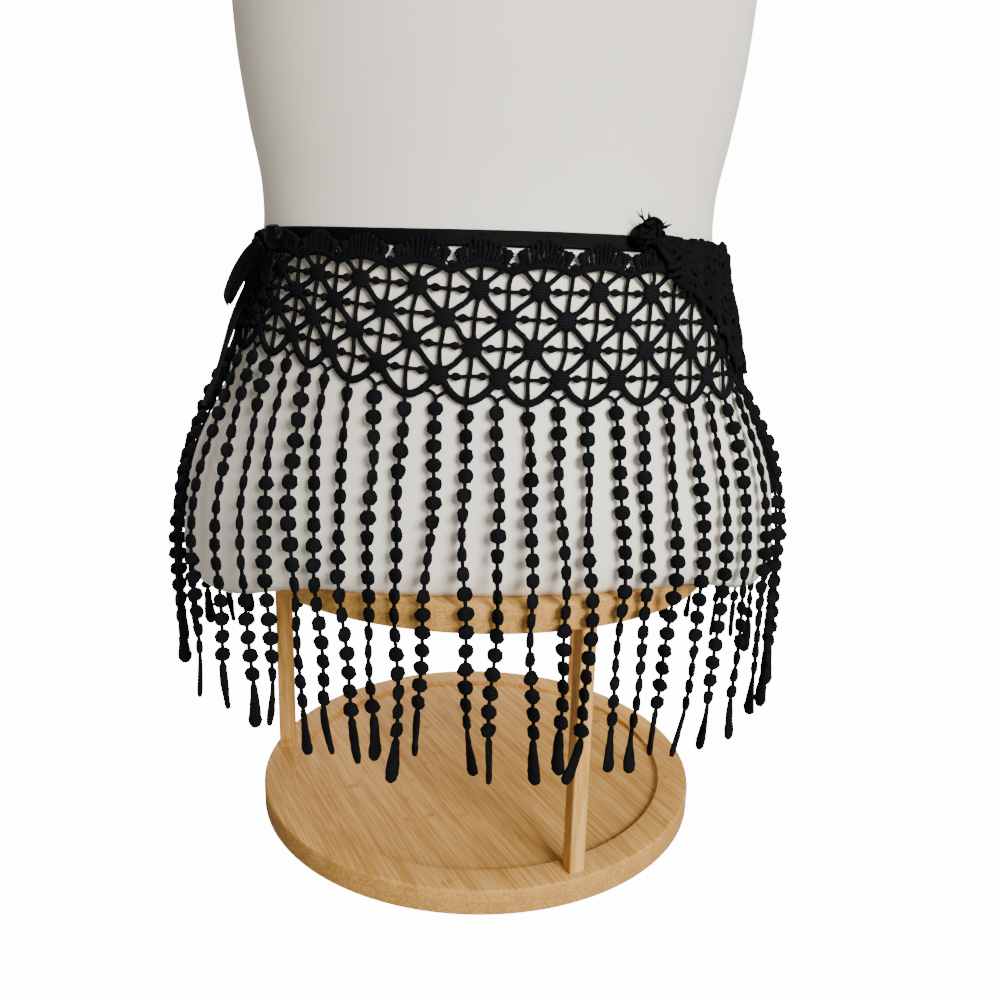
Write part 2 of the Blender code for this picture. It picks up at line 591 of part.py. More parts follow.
def strand_rings(column, root):
    """Three-cornered rings down one strand, and the long flat drop at its end."""
    _, length = strand_values(column)
    rows = [(0.007, BEAD_HALF_WIDTH, BEAD_HALF_DEPTH)]
    for share in np.linspace(0.0, 1.0, STRAND_RINGS + 1)[1:]:
        rows.append((share * (length - DROP_LENGTH), BEAD_HALF_WIDTH, BEAD_HALF_DEPTH))
    rows.append((length - DROP_LENGTH * 0.35, DROP_HALF_WIDTH, DROP_HALF_DEPTH))
    rows.append((length, LINK_RADIUS * 0.7, LINK_RADIUS * 0.7))
    distances = np.array([row[0] for row in rows])
    centres, normal, sideways = hanging_path(column, root, distances)
    rings = []
    for number, (centre, (distance, half_width, half_depth)) in enumerate(zip(centres, rows)):
        twist = TWIST * hash_unit(column * 7 + number * 0.37, 3.0) * min(distance / 0.05, 1.0)
        wide = np.array([*(math.cos(twist) * sideways + math.sin(twist) * normal), 0])
        deep = np.array([*(math.cos(twist) * normal - math.sin(twist) * sideways), 0])
        rings.append([centre + wide * across * half_width + deep * out * half_depth
                      for across, out in STRAND_CORNERS])
    return rings


def hem_height(column):
    """Height of the scalloped cord's middle: high under each disc, low between two."""
    return HEM_TOP_HEIGHT - HEM_DIP * np.sin(math.pi * np.asarray(column)) ** 2


def fringe(name, first, last, finish, parent):
    """A length of the scalloped cord with its strands, which grow from its underside."""
    roots = [half / 2 for half in range(math.ceil(first * 2), math.floor(last * 2) + 1)
             if first + ROOT_HALF < half / 2 < last - ROOT_HALF]
    stations = [first]
    for root in roots:
        if root - ROOT_HALF - stations[-1] > 0.3:
            stations.append((root - 0.5 + root) / 2)
        stations += [root - ROOT_HALF, root + ROOT_HALF]
    stations.append(last)
    stations = np.array(sorted(set(stations)))
    middle = hem_height(stations)
    corners = ((middle - HEM_HALF, 0.0), (middle - HEM_HALF, HEM_THICKNESS),
               (middle + HEM_HALF, HEM_THICKNESS), (middle + HEM_HALF, 0.0))
    rings = [on_lace(stations, height, raised) for height, raised in corners]
    points = [tuple(p) for p in np.stack(rings, axis=1).reshape(-1, 3)]
    faces = box_faces(0, len(stations))
    for root in roots:
        station = int(np.argmin(np.abs(stations - (root - ROOT_HALF))))
        inner, outer, outer_after, inner_after = 4 * station, 4 * station + 1, 4 * station + 5, 4 * station + 4
        faces.remove((inner, outer, outer_after, inner_after))
        faces.append((inner, outer_after, inner_after))
        above = [inner, outer, outer_after]
        base = np.mean([points[i] for i in above], axis=0)
        neck = [np.array(points[i]) - (0, 0, NECK) for i in above]
        for ring in [neck, *strand_rings(root, base)]:
            start = len(points)
            points += [tuple(p) for p in ring]
            below = [start, start + 1, start + 2]
            faces += [(above[k], above[(k + 1) % 3], below[(k + 1) % 3], below[k]) for k in range(3)]
            above = below
        faces.append(tuple(above))
    return add_piece(name, points, faces, finish, parent)


def folded_lace(name, values, edge, finish, parent):
    """A dense doubled length of lace lying over the band, with soft upright folds."""
    across = np.linspace(0, 1, 4 * values["folds"] + 1)
    down = np.linspace(0, 1, 5)
    u, v = np.meshgrid(across, down, indexing="ij")
    column = values["first"] + (values["last"] - values["first"]) * u
    lower = np.interp(column, table_column(edge, FOLD_EDGE_COLUMNS, "column"),
                      table_column(edge, FOLD_EDGE_COLUMNS, "height"))
    column = column + values["slant"] * (v - 0.5)
    height = values["top"] + (lower - values["top"]) * v
    wave = 0.5 - 0.5 * np.cos(2 * math.pi * values["folds"] * u)
    rise = values["swell"] * wave * np.sin(math.pi * np.clip(v, 0.04, 0.96)) ** 0.5
    inner = on_lace(column, height, LACE_THICKNESS + FOLD_CLEARANCE + rise * FOLD_SPREAD)
    outer = on_lace(column, height, LACE_THICKNESS + FOLD_CLEARANCE + rise + values["thickness"])
    count_u, count_v = u.shape
    total = count_u * count_v
    points = [*inner.reshape(-1, 3), *outer.reshape(-1, 3)]
    cell = lambda i, j: i * count_v + j
    faces = []
    for i in range(count_u - 1):
        for j in range(count_v - 1):
            quad = (cell(i, j), cell(i + 1, j), cell(i + 1, j + 1), cell(i, j + 1))
            faces += [quad, tuple(k + total for k in reversed(quad))]
    border = [cell(i, 0) for i in range(count_u)] + [cell(count_u - 1, j) for j in range(1, count_v)]
    border += [cell(i, count_v - 1) for i in range(count_u - 2, -1, -1)]
    border += [cell(0, j) for j in range(count_v - 2, 0, -1)]
    for a, b in zip(border, border[1:] + border[:1]):
        faces.append((a, a + total, b + total, b))
    return add_piece(name, points, faces, finish, parent)


def strip(name, path, widths, wide_directions, thickness, finish, parent):
    """A flat ribbon along a path, with its width and the way its width points at each point."""
    path = np.array(path, float)
    ahead = np.gradient(path, axis=0)
    ahead /= np.linalg.norm(ahead, axis=1)[:, None]
    wide = np.array(wide_directions, float)
    wide -= (wide * ahead).sum(axis=1)[:, None] * ahead
    wide /= np.linalg.norm(wide, axis=1)[:, None]
    deep = np.cross(ahead, wide)
    half_w, half_t = np.array(widths)[:, None] / 2, thickness / 2
    rings = [path - wide * half_w - deep * half_t, path + wide * half_w - deep * half_t,
             path + wide * half_w + deep * half_t, path - wide * half_w + deep * half_t]
    points = np.stack(rings, axis=1).reshape(-1, 3)
    return add_piece(name, points, box_faces(0, len(path)), finish, parent)


def ribbon_run(name, route, along_skin, finish, parent):
    """A ribbon piece of the bow from its short route over the body."""
    column = table_column(route, ROUTE_COLUMNS, "column")
    height = table_column(route, ROUTE_COLUMNS, "height")
    out = table_column(route, ROUTE_COLUMNS, "out")
    width = table_column(route, ROUTE_COLUMNS, "width")
    path = on_body(column, height, out)
    skin = on_body(column, height, out + 0.01) - path
    down = np.gradient(path, axis=0)
    wide = np.cross(skin, down) if along_skin else skin
    first = wide[0]
    wide = np.array([w if w @ first > 0 else -w for w in wide])
    return strip(name, path, width, wide, BOW_THICKNESS, finish, parent)


def rounded_lump(name, values, finish, parent):
    """A knot: a low rounded lump seated at a place on the body."""
    column, height, out, *sizes = values
    centre = on_body(column, height, out)
    turn = float(turn_of(column, height))
    nx, ny = (float(v) for v in outward_of(turn, height))
    outward, sideways, up = np.array([nx, ny, 0]), np.array([-ny, nx, 0]), np.array([0, 0, 1])
    shape = bmesh.new()
    bmesh.ops.create_icosphere(shape, subdivisions=2, radius=1.0)
    points, faces = [], []
    for vertex in shape.verts:
        a, b, c = (math.copysign(abs(v) ** 0.75, v) for v in vertex.co)
        points.append(centre + sideways * a * sizes[0] / 2 + outward * b * sizes[1] / 2 + up * c * sizes[2] / 2)
    for face in shape.faces:
        faces.append(tuple(vertex.index for vertex in face.verts))
    shape.free()
    return add_piece(name, points, faces, finish, parent, smooth=True)


def build():
    """Everything in the part, from the stand up to the belt."""
    for item in list(bpy.data.objects):
        bpy.data.objects.remove(item)
    bamboo = material("bamboo", (0.66, 0.46, 0.22), 0.5)
    ivory = material("form_plastic", (0.76, 0.74, 0.70), 0.45)
    lace = material("lace_cord", (0.012, 0.013, 0.015), 0.75)
    satin = material("satin_ribbon", (0.012, 0.012, 0.014), 0.35)

    part = bpy.data.objects.new("hip_belt", None)
    bpy.context.collection.objects.link(part)

    turned_board("stand_base", 0.0, bamboo, part)
    turned_board("stand_tray", TRAY_UNDERSIDE, bamboo, part)
    for number, angle in enumerate(POST_ANGLES_DEG, 1):
        post(f"stand_post_{number}", angle, bamboo, part)
    dress_form(ivory, part)

    waist_ribbon(satin, part)
    seam = SEAM / PITCH / 2
    front = FRONT_COLUMNS
    lace_panel("lace_front", -front + seam, front - seam, lace, part)
    lace_panel("lace_back", front + seam, REPEATS - front - seam, lace, part)
    fringe("fringe_front", -front + seam, front - seam, lace, part)
    fringe("fringe_back", front + seam, REPEATS - front - seam, lace, part)

    folded_lace("lace_fold_right", FOLD_RIGHT, FOLD_RIGHT_EDGE, lace, part)
    folded_lace("lace_gather_left", GATHER_LEFT, GATHER_LEFT_EDGE, lace, part)
    rounded_lump("lace_knot_right", LACE_KNOT_RIGHT, lace, part)

    rounded_lump("ribbon_knot", RIBBON_KNOT, satin, part)
    ribbon_run("ribbon_loop", LOOP_ROUTE, True, satin, part)
    ribbon_run("ribbon_tail", TAIL_ROUTE, True, satin, part)
    ribbon_run("ribbon_end", END_ROUTE, True, satin, part)


build()
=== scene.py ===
# Black corded-lace hip belt with a beaded fringe, tied round a white dress form on a bamboo stand.
# Metres, +Z up, front towards -Y. A place on the cloth is its column (lace repeats round the body
# from the centre front), its height, and how far it stands out from the form.
import math

import bpy
import numpy as np
from mathutils import Matrix, Vector


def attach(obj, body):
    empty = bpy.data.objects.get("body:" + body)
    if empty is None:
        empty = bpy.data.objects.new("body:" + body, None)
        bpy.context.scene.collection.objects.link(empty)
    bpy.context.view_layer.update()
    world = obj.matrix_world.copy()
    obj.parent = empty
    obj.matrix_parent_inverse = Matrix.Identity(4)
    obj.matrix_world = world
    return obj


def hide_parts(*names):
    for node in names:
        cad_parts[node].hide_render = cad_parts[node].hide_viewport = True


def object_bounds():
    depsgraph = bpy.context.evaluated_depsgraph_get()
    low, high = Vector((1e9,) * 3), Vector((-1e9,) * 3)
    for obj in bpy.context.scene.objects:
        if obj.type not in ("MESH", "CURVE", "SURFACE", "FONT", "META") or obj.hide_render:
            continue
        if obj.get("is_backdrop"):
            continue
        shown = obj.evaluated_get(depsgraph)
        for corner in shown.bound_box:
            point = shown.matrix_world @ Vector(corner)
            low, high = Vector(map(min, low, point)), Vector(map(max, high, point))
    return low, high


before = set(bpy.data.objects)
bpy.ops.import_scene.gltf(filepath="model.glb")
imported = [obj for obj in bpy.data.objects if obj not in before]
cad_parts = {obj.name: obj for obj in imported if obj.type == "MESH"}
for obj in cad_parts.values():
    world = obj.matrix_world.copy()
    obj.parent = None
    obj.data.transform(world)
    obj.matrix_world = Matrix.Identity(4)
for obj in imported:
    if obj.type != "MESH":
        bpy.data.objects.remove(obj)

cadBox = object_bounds()
rng = np.random.default_rng(11)


# Camera and light

cameraValues = {
    "position": (-0.0530, -0.5097, 0.3034),
    "turn": -7.0,               # degrees round the upright, away from straight ahead
    "pitch": 13.88,             # degrees down
    "roll": 1.62,
    "lens": 33.15,              # mm on a 36 mm sensor
}


def addCamera(values):
    # turn about Z, tip down from level, then roll about the line of sight
    data = bpy.data.cameras.new("camera")
    data.lens, data.sensor_width = values["lens"], 36.0
    data.clip_start, data.clip_end = 0.01, 50.0
    camera = bpy.data.objects.new("camera", data)
    camera.matrix_world = (Matrix.Translation(values["position"])
                           @ Matrix.Rotation(math.radians(values["turn"]), 4, "Z")
                           @ Matrix.Rotation(math.radians(90 - values["pitch"]), 4, "X")
                           @ Matrix.Rotation(math.radians(values["roll"]), 4, "Z"))
    bpy.context.collection.objects.link(camera)
    bpy.context.scene.camera = camera


addCamera(cameraValues)

lightValues = {
    # name: place, what it looks at, size in metres, watts, colour
    "key": ((0.92, -1.95, 1.2), (0, 0, 0.25), 1.0, 112.0, (1.0, 0.98, 0.94)),
    "left": ((-1.9, -1.2, 0.9), (0, 0, 0.3), 1.2, 1.0, (1.0, 0.88, 0.78)),
    "right": ((1.9, -0.9, 1.0), (0, 0, 0.3), 1.2, 3.0, (0.96, 1.0, 0.93)),
    "top": ((0.1, 0.3, 2.1), (0, 0, 0.2), 1.4, 58.0, (1.0, 0.99, 0.96)),
    "back": ((-0.4, 1.9, 1.9), (0, 0, 0.3), 1.3, 34.0, (1.0, 1.0, 1.0)),
}


def addLight(name, place, target, size, watts, colour):
    # a square lamp whose back points straight away from what it looks at
    data = bpy.data.lights.new(name, "AREA")
    data.size, data.energy, data.color = size, watts, colour
    lamp = bpy.data.objects.new(name, data)
    away = Vector(place) - Vector(target)
    lamp.matrix_world = Matrix.Translation(place) @ away.to_track_quat("Z", "Y").to_matrix().to_4x4()
    bpy.context.collection.objects.link(lamp)


for lightName, lightRow in lightValues.items():
    addLight(lightName, *lightRow)

worldValues = {"colour": (1.0, 0.95, 0.89), "strength": 0.10, "seen": 14.0}


def makeWorld(values):
    # a dim warm surround for the light, and plain white where the camera sees past the floor
    world = bpy.data.worlds.new("studio")
    bpy.context.scene.world = world
    world.use_nodes = True
    nodes, links = world.node_tree.nodes, world.node_tree.links
    surround, seen = nodes["Background"], nodes.new("ShaderNodeBackground")
    surround.inputs["Color"].default_value = (*values["colour"], 1)
    surround.inputs["Strength"].default_value = values["strength"]
    seen.inputs["Color"].default_value = (1, 1, 1, 1)
    seen.inputs["Strength"].default_value = values["seen"]
    choice = nodes.new("ShaderNodeMixShader")
    links.new(nodes.new("ShaderNodeLightPath").outputs["Is Camera Ray"], choice.inputs[0])
    links.new(surround.outputs[0], choice.inputs[1])
    links.new(seen.outputs[0], choice.inputs[2])
    links.new(choice.outputs[0], nodes["World Output"].inputs["Surface"])


makeWorld(worldValues)


# Shader expressions

class Wire:
    # one output socket; arithmetic on it adds Math nodes
    def __init__(self, shade, socket):
        self.shade, self.socket = shade, socket

    def maths(self, operation, *others, flipped=False):
        parts = [*others, self] if flipped else [self, *others]
        return self.shade.node("ShaderNodeMath", {"operation": operation}, dict(enumerate(parts)))

    def __add__(self, other): return self.maths("ADD", other)
    def __radd__(self, other): return self.maths("ADD", other)
    def __sub__(self, other): return self.maths("SUBTRACT", other)
    def __rsub__(self, other): return self.maths("SUBTRACT", other, flipped=True)
    def __mul__(self, other): return self.maths("MULTIPLY", other)
    def __truediv__(self, other): return self.maths("DIVIDE", other)
    def __pow__(self, other): return self.maths("POWER", other)

    def sine(self): return self.maths("SINE")
    def whole(self): return self.maths("FLOOR")
    def part(self): return self.maths("FRACT")
    def size(self): return self.maths("ABSOLUTE")
    def least(self, other): return self.maths("MINIMUM", other)

    def ease(self, low, high, start=0.0, end=1.0):
        # smooth step from start to end as the value goes from low to high
        return self.shade.node("ShaderNodeMapRange", {"interpolation_type": "SMOOTHSTEP"},
                               {0: self, 1: low, 2: high, 3: start, 4: end})


class Shade:
    # a material and the shader that ends it
    def __init__(self, name, **constants):
        self.material = bpy.data.materials.new(name)
        self.material.use_nodes = True
        self.tree = self.material.node_tree
        self.shader = self.tree.nodes["Principled BSDF"]
        for socketName, value in constants.items():
            self.shader.inputs[socketName.replace("_", " ")].default_value = value

    def node(self, kind, settings=None, sockets=None, output=0):
        made = self.tree.nodes.new(kind)
        for key, value in (settings or {}).items():
            setattr(made, key, value)
        for key, value in (sockets or {}).items():
            if isinstance(value, Wire):
                self.tree.links.new(value.socket, made.inputs[key])
            else:
                made.inputs[key].default_value = value
        return Wire(self, made.outputs[output])

    def blend(self, share, first, second):
        # first where share is 0, second where it is 1
        first, second = (value if isinstance(value, Wire) else (*value, 1.0) for value in (first, second))
        return self.node("ShaderNodeMix", {"data_type": "RGBA"}, {0: share, 6: first, 7: second}, 2)

    def place(self):
        return self.node("ShaderNodeTexCoord", output="Object")

    def map(self, name):
        # the two coordinates of a piece's own UV map
        uv = self.node("ShaderNodeUVMap", {"uv_map": name})
        return self.split(uv, 0), self.split(uv, 1)

    def split(self, vector, axis):
        return self.node("ShaderNodeSeparateXYZ", None, {0: vector}, axis)

    def vector(self, x=0.0, y=0.0, z=0.0):
        return self.node("ShaderNodeCombineXYZ", None, {0: x, 1: y, 2: z})

    def noise(self, vector, scale, detail=2.0, roughness=0.5):
        return self.node("ShaderNodeTexNoise", None,
                         {"Vector": vector, "Scale": scale, "Detail": detail, "Roughness": roughness})

    def feed(self, socketName, value):
        self.tree.links.new(value.socket, self.shader.inputs[socketName])

    def bump(self, height, distance, strength=1.0):
        self.feed("Normal", self.node("ShaderNodeBump", None,
                                      {"Height": height, "Distance": distance, "Strength": strength}))


threadValues = {
    # deep: painted shade in the grooves between wraps and threads; raised: painted highlight on their tops
    "deep": (0.0009, 0.0010, 0.0012),
    "raised": (0.0058, 0.0066, 0.0080),
    "ribPitch": 0.8,            # mm between two wraps of thread on a cord
    "beadRibPitch": 0.62,       # and on a bead
    "ribLean": 0.22,            # how far a wrap slants round the cord
    "ribHeight": 0.00016,
}


def threadFinish(name, values, ribPitch, strength=1.0):
    # wraps = a rounded wave along the cord that slants round it; threads are finer waves across that
    shade = Shade(name, Roughness=0.62, Specular_IOR_Level=0.04)
    along, around = shade.map("stitch")
    jitter = shade.noise(shade.place(), 900.0, 1.0)
    turned = along * (1 / ribPitch) + around * values["ribLean"] + jitter * 0.35
    wraps = ((turned * (2 * math.pi)).sine() * 0.5 + 0.5) ** 0.6
    strands = ((along * 4.1 + around * 1.3 + jitter * 1.4) * math.pi).sine() * 0.5 + 0.5
    broad = shade.noise(shade.place(), 70.0, 1.0)
    fuzz = shade.noise(shade.place(), 4200.0, 1.0, 0.6)
    # colour: lighter on the tops of wraps and threads and darker between them, painted highlight and
    # painted shade; broad adds tone at random
    lit = wraps * 0.55 + strands * 0.2 + broad.ease(0.3, 0.7) * 0.25
    shade.feed("Base Color", shade.blend(lit, values["deep"], values["raised"]))
    shade.feed("Roughness", 0.78 - wraps * 0.16 + fuzz * 0.08)
    shade.bump(wraps + strands * 0.22 + fuzz * 0.3, values["ribHeight"] * strength, 1.0)
    return shade.material


# the second colour is painted soft shade, blended in by the mottling
formValues = {"colour": (0.830, 0.795, 0.705), "paintedShadeColour": (0.775, 0.740, 0.655)}


def formFinish(values):
    # moulded plastic: broad faint mottling, which in the colour is painted soft shade, and a fine skin
    shade = Shade("form plastic", Roughness=0.46, Specular_IOR_Level=0.38, Coat_Roughness=0.5)
    place = shade.place()
    mottle = shade.noise(place, 7.0, 2.0, 0.45)
    fine = shade.noise(place, 620.0, 1.0)
    shade.feed("Base Color", shade.blend(mottle.ease(0.3, 0.7), values["colour"], values["paintedShadeColour"]))
    shade.feed("Roughness", mottle * 0.10 + fine * 0.05 + 0.39)
    shade.bump(fine * 0.2 + mottle, 0.00035, 0.5)
    return shade.material


bambooValues = {
    "pale": (0.690, 0.405, 0.125),
    "warm": (0.430, 0.215, 0.047),
    "dark": (0.230, 0.105, 0.024),
    # rim and its share: painted shade that darkens a board's cut edge
    "rim": (0.300, 0.135, 0.024),
    "edgeShadeShare": 0.32,
    "rimAt": 0.1266,            # distance from the middle where a board's cut edge begins
    "glueAt": 0.0068,           # height of a board's glue line over its underside
    "stripWidth": 0.0056,
    "postStripWidth": 0.0043,
    "nodeEvery": 0.31,          # distance between two joints of a cane
}


def bambooFinish(name, values, stripWidth, glueAt=None):
    # glued strips, each with its own tone; long fibres along the grain that show as specks where an edge
    # cuts them; a joint mark at a place of its own in each strip. A board has two layers that meet at the
    # height glueAt, and is darker at its cut edge, by its distance from the middle: painted shade on its
    # side.
    shade = Shade(name, Roughness=0.5, Specular_IOR_Level=0.14)
    along, across = shade.map("grain")
    strip = (across / stripWidth).whole()
    depth, seam, edge = 0.0, 0.0, 0.0
    if glueAt is not None:
        x, y, up = (shade.split(shade.place(), axis) for axis in range(3))
        depth = up * 800.0
        strip = strip + up.ease(glueAt - 0.0001, glueAt + 0.0001) * 31.0
        seam = (up - glueAt).size().ease(0.0, 0.00035, 1.0, 0.0)
        fromMiddle = (x ** 2.0 + y ** 2.0) ** 0.5
        # painted shade: the cut edge darkened towards the rim colour
        edge = fromMiddle.ease(values["rimAt"] - 0.0004, values["rimAt"]) * values["edgeShadeShare"]
    ownTone = shade.node("ShaderNodeTexWhiteNoise", {"noise_dimensions": "1D"}, {"W": strip})
    shiftAlong = along + ownTone * 1.7
    fibres = shade.noise(shade.vector(shiftAlong * 26.0, across * 900.0, depth), 1.0, 3.0, 0.6)
    streaks = shade.noise(shade.vector(shiftAlong * 6.0, across * 240.0, ownTone * 5.0), 1.0, 2.0, 0.55)
    tone = ownTone * 0.17 + fibres.ease(0.30, 0.70) * 0.52 + streaks * 0.36
    joint = (shiftAlong / values["nodeEvery"]).part() - 0.5
    jointMark = joint.size().ease(0.0, 0.011, 1.0, 0.0) * streaks.ease(0.46, 0.62)
    glue = ((across / stripWidth).part() - 0.5).size().ease(0.475, 0.5) * 0.7 + seam
    colour = shade.blend(tone.ease(0.18, 0.86), values["warm"], values["pale"])
    colour = shade.blend((jointMark * 0.55 + glue * 0.28).least(0.8), colour, values["dark"])
    shade.feed("Base Color", shade.blend(edge, colour, values["rim"]))
    shade.feed("Roughness", fibres * 0.16 + 0.44)
    shade.bump(fibres * 0.7 - jointMark * 0.8 - glue * 0.8, 0.00012, 0.7)
    return shade.material


# deep: painted shade between the satin's threads; raised: painted highlight and sheen on them
satinValues = {"deep": (0.0009, 0.0010, 0.0012), "raised": (0.0030, 0.0031, 0.0036)}


def satinFinish(values):
    # satin weave: fine waves across the ribbon for its threads, slight ribs along it, and soft clouds; in
    # the colour these are painted highlight on the threads and painted sheen in the clouds
    shade = Shade("black satin ribbon", Roughness=0.34, Specular_IOR_Level=0.055, Anisotropic=0.35)
    along, across = shade.map("stitch")
    warp = (across * 38.0).sine() * 0.5 + 0.5
    weft = (along * 11.0 + shade.noise(shade.place(), 300.0) * 2.0).sine() * 0.5 + 0.5
    cloud = shade.noise(shade.place(), 55.0, 3.0)
    lit = warp * 0.35 + weft * 0.25 + cloud * 0.4
    shade.feed("Base Color", shade.blend(lit, values["deep"], values["raised"]))
    shade.feed("Roughness", 0.30 + cloud * 0.14 + weft * 0.05)
    shade.bump(warp * 0.5 + weft * 0.35 + cloud * 1.2, 0.00006, 0.8)
    return shade.material


stageValues = {
    "colour": (0.36, 0.34, 0.32), "glow": 14.0,
    "flatRadii": (0.4, 1.2, 2.0), "curveWide": 1.4, "curveTall": 1.5, "curveRings": 14, "sides": 96,
}


def stageFinish(values):
    # the floor and wall look burnt-out white to the camera and light nothing by themselves
    shade = Shade("white studio floor", Roughness=0.9, Specular_IOR_Level=0.05,
                  Emission_Strength=values["glow"])
    cloud = shade.noise(shade.place(), 1.5, 2.0)
    shade.feed("Base Color", shade.blend(cloud, values["colour"], [c * 0.985 for c in values["colour"]]))
    seen = shade.node("ShaderNodeLightPath")
    shade.feed("Emission Color", shade.blend(seen, (0.0, 0.0, 0.0), (1.0, 1.0, 1.0)))
    return shade.material


laceThread = threadFinish("black lace thread", threadValues, threadValues["ribPitch"])
beadThread = threadFinish("black bead thread", threadValues, threadValues["beadRibPitch"], 0.9)
formPlastic = formFinish(formValues)
blackSatin = satinFinish(satinValues)
print("finishes ready")


# Meshes from arrays

def paired(first, second):
    # two arrays of coordinates as one array of pairs
    return np.stack([first, second], axis=-1)


class Batch:
    # gathers grids of points and puts them into one mesh with a UV map
    def __init__(self):
        self.points, self.corners, self.sizes, self.uvs, self.count = [], [], [], [], 0

    def addFaces(self, faces, uv):
        self.corners.append(faces.reshape(-1))
        self.sizes.append(np.full(len(faces), faces.shape[1]))
        self.uvs.append(uv.reshape(-1, 2))

    def addTubes(self, points, ends, along, around):
        # points (cord, station, side, 3) closed round the sides; ends (cord, 2, 3) close the two tips
        cords, stations, sides = points.shape[:3]
        first = self.count
        number = first + np.arange(cords * stations * sides).reshape(cords, stations, sides)
        tips = first + cords * stations * sides + np.arange(cords * 2).reshape(cords, 2)
        self.points += [points.reshape(-1, 3), ends.reshape(-1, 3)]
        self.count += cords * stations * sides + cords * 2
        after = np.roll(number, -1, axis=2)
        quads = np.stack([number[:, :-1], number[:, 1:], after[:, 1:], after[:, :-1]], axis=-1)
        side = np.arange(sides) / sides
        u = np.broadcast_to(along[:, :, None], points.shape[:3])
        v0 = around[:, :, None] * side
        v1 = around[:, :, None] * (side + 1 / sides)
        uv = np.stack([paired(u[:, :-1], v0[:, :-1]), paired(u[:, 1:], v0[:, 1:]),
                       paired(u[:, 1:], v1[:, 1:]), paired(u[:, :-1], v1[:, :-1])], axis=-2)
        self.addFaces(quads.reshape(-1, 4), uv)
        for which, station, order in ((0, 0, 1), (1, -1, -1)):
            ring, ringAfter = number[:, station], after[:, station]
            tip = np.broadcast_to(tips[:, which, None], ring.shape)
            faces = np.stack([tip, ring, ringAfter][::order], axis=-1)
            tipUv = paired(u[:, station], (v0[:, station] + v1[:, station]) / 2)
            parts = [tipUv, paired(u[:, station], v0[:, station]), paired(u[:, station], v1[:, station])]
            self.addFaces(faces.reshape(-1, 3), np.stack(parts[::order], axis=-2))

    def addBand(self, points, uv):
        # points (row, column, 3) closed round the columns, uv (row, column, 2)
        rows, columns = points.shape[:2]
        number = self.count + np.arange(rows * columns).reshape(rows, columns)
        self.points.append(points.reshape(-1, 3))
        self.count += rows * columns
        after, uvAfter = np.roll(number, -1, axis=1), np.roll(uv, -1, axis=1)
        quads = np.stack([number[:-1], number[1:], after[1:], after[:-1]], axis=-1)
        corners = np.stack([uv[:-1], uv[1:], uvAfter[1:], uvAfter[:-1]], axis=-2)
        self.addFaces(quads.reshape(-1, 4), corners)

    def piece(self, name, finish, node, mapName="stitch"):
        # all that was gathered as one smooth object that rides on the body and stands for its node
        points = np.concatenate(self.points).astype(np.float32)
        corners = np.concatenate(self.corners).astype(np.int32)
        sizes = np.concatenate(self.sizes).astype(np.int32)
        mesh = bpy.data.meshes.new(name)
        mesh.vertices.add(len(points))
        mesh.vertices.foreach_set("co", points.reshape(-1))
        mesh.loops.add(len(corners))
        mesh.loops.foreach_set("vertex_index", corners)
        mesh.polygons.add(len(sizes))
        starts = np.concatenate([[0], np.cumsum(sizes)[:-1]]).astype(np.int32)
        mesh.polygons.foreach_set("loop_start", starts)
        mesh.update(calc_edges=True)
        layer = mesh.uv_layers.new(name=mapName)
        layer.data.foreach_set("uv", np.concatenate(self.uvs).astype(np.float32).reshape(-1))
        mesh.shade_smooth()
        mesh.materials.append(finish)
        made = bpy.data.objects.new(name, mesh)
        bpy.context.collection.objects.link(made)
        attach(made, "root")
        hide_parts(node)
        print(name, "triangles", int((sizes - 2).sum()))
        return made


def unit(vectors):
    # each vector over its length
    return vectors / np.maximum(np.linalg.norm(vectors, axis=-1, keepdims=True), 1e-12)


def tube(batch, centre, outward, halfWidth, halfDepth, sides=8, ribs=0.0, twist=0.0,
         startRound=0.35, endRound=0.35):
    # an oval ring round each centre: width lies square to the path and to outward, depth along outward
    # ribs swell every other ring, on alternate sides; along = the path's own length in mm
    shape = centre.shape[:2]
    ahead = unit(np.gradient(centre, axis=1))
    side = unit(np.cross(ahead, outward))
    out = unit(np.cross(side, ahead))
    cosTwist = np.broadcast_to(np.cos(twist), shape)[..., None]
    sinTwist = np.broadcast_to(np.sin(twist), shape)[..., None]
    wide = side * cosTwist + out * sinTwist
    deep = out * cosTwist - side * sinTwist
    angle = np.arange(sides) * 2 * np.pi / sides
    halfWidth, halfDepth = np.broadcast_to(halfWidth, shape), np.broadcast_to(halfDepth, shape)
    station = np.arange(shape[1])
    swell = 1 + ribs * np.cos(np.pi * station[None, :, None] + angle[None, None, :])
    across = (halfWidth[:, :, None] * np.cos(angle) * swell)[..., None]
    through = (halfDepth[:, :, None] * np.sin(angle) * swell)[..., None]
    points = centre[:, :, None] + wide[:, :, None] * across + deep[:, :, None] * through
    steps = np.linalg.norm(np.diff(centre, axis=1), axis=2)
    along = np.concatenate([np.zeros((len(centre), 1)), np.cumsum(steps, axis=1)], axis=1) * 1000
    along = along + rng.uniform(0, 50, (len(centre), 1))
    around = np.pi * (halfWidth + halfDepth) * 1000
    ends = np.stack([centre[:, 0] - ahead[:, 0] * halfDepth[:, :1] * startRound,
                     centre[:, -1] + ahead[:, -1] * halfDepth[:, -1:] * endRound], axis=1)
    batch.addTubes(points, ends, along, around)


# The body that the cloth lies on

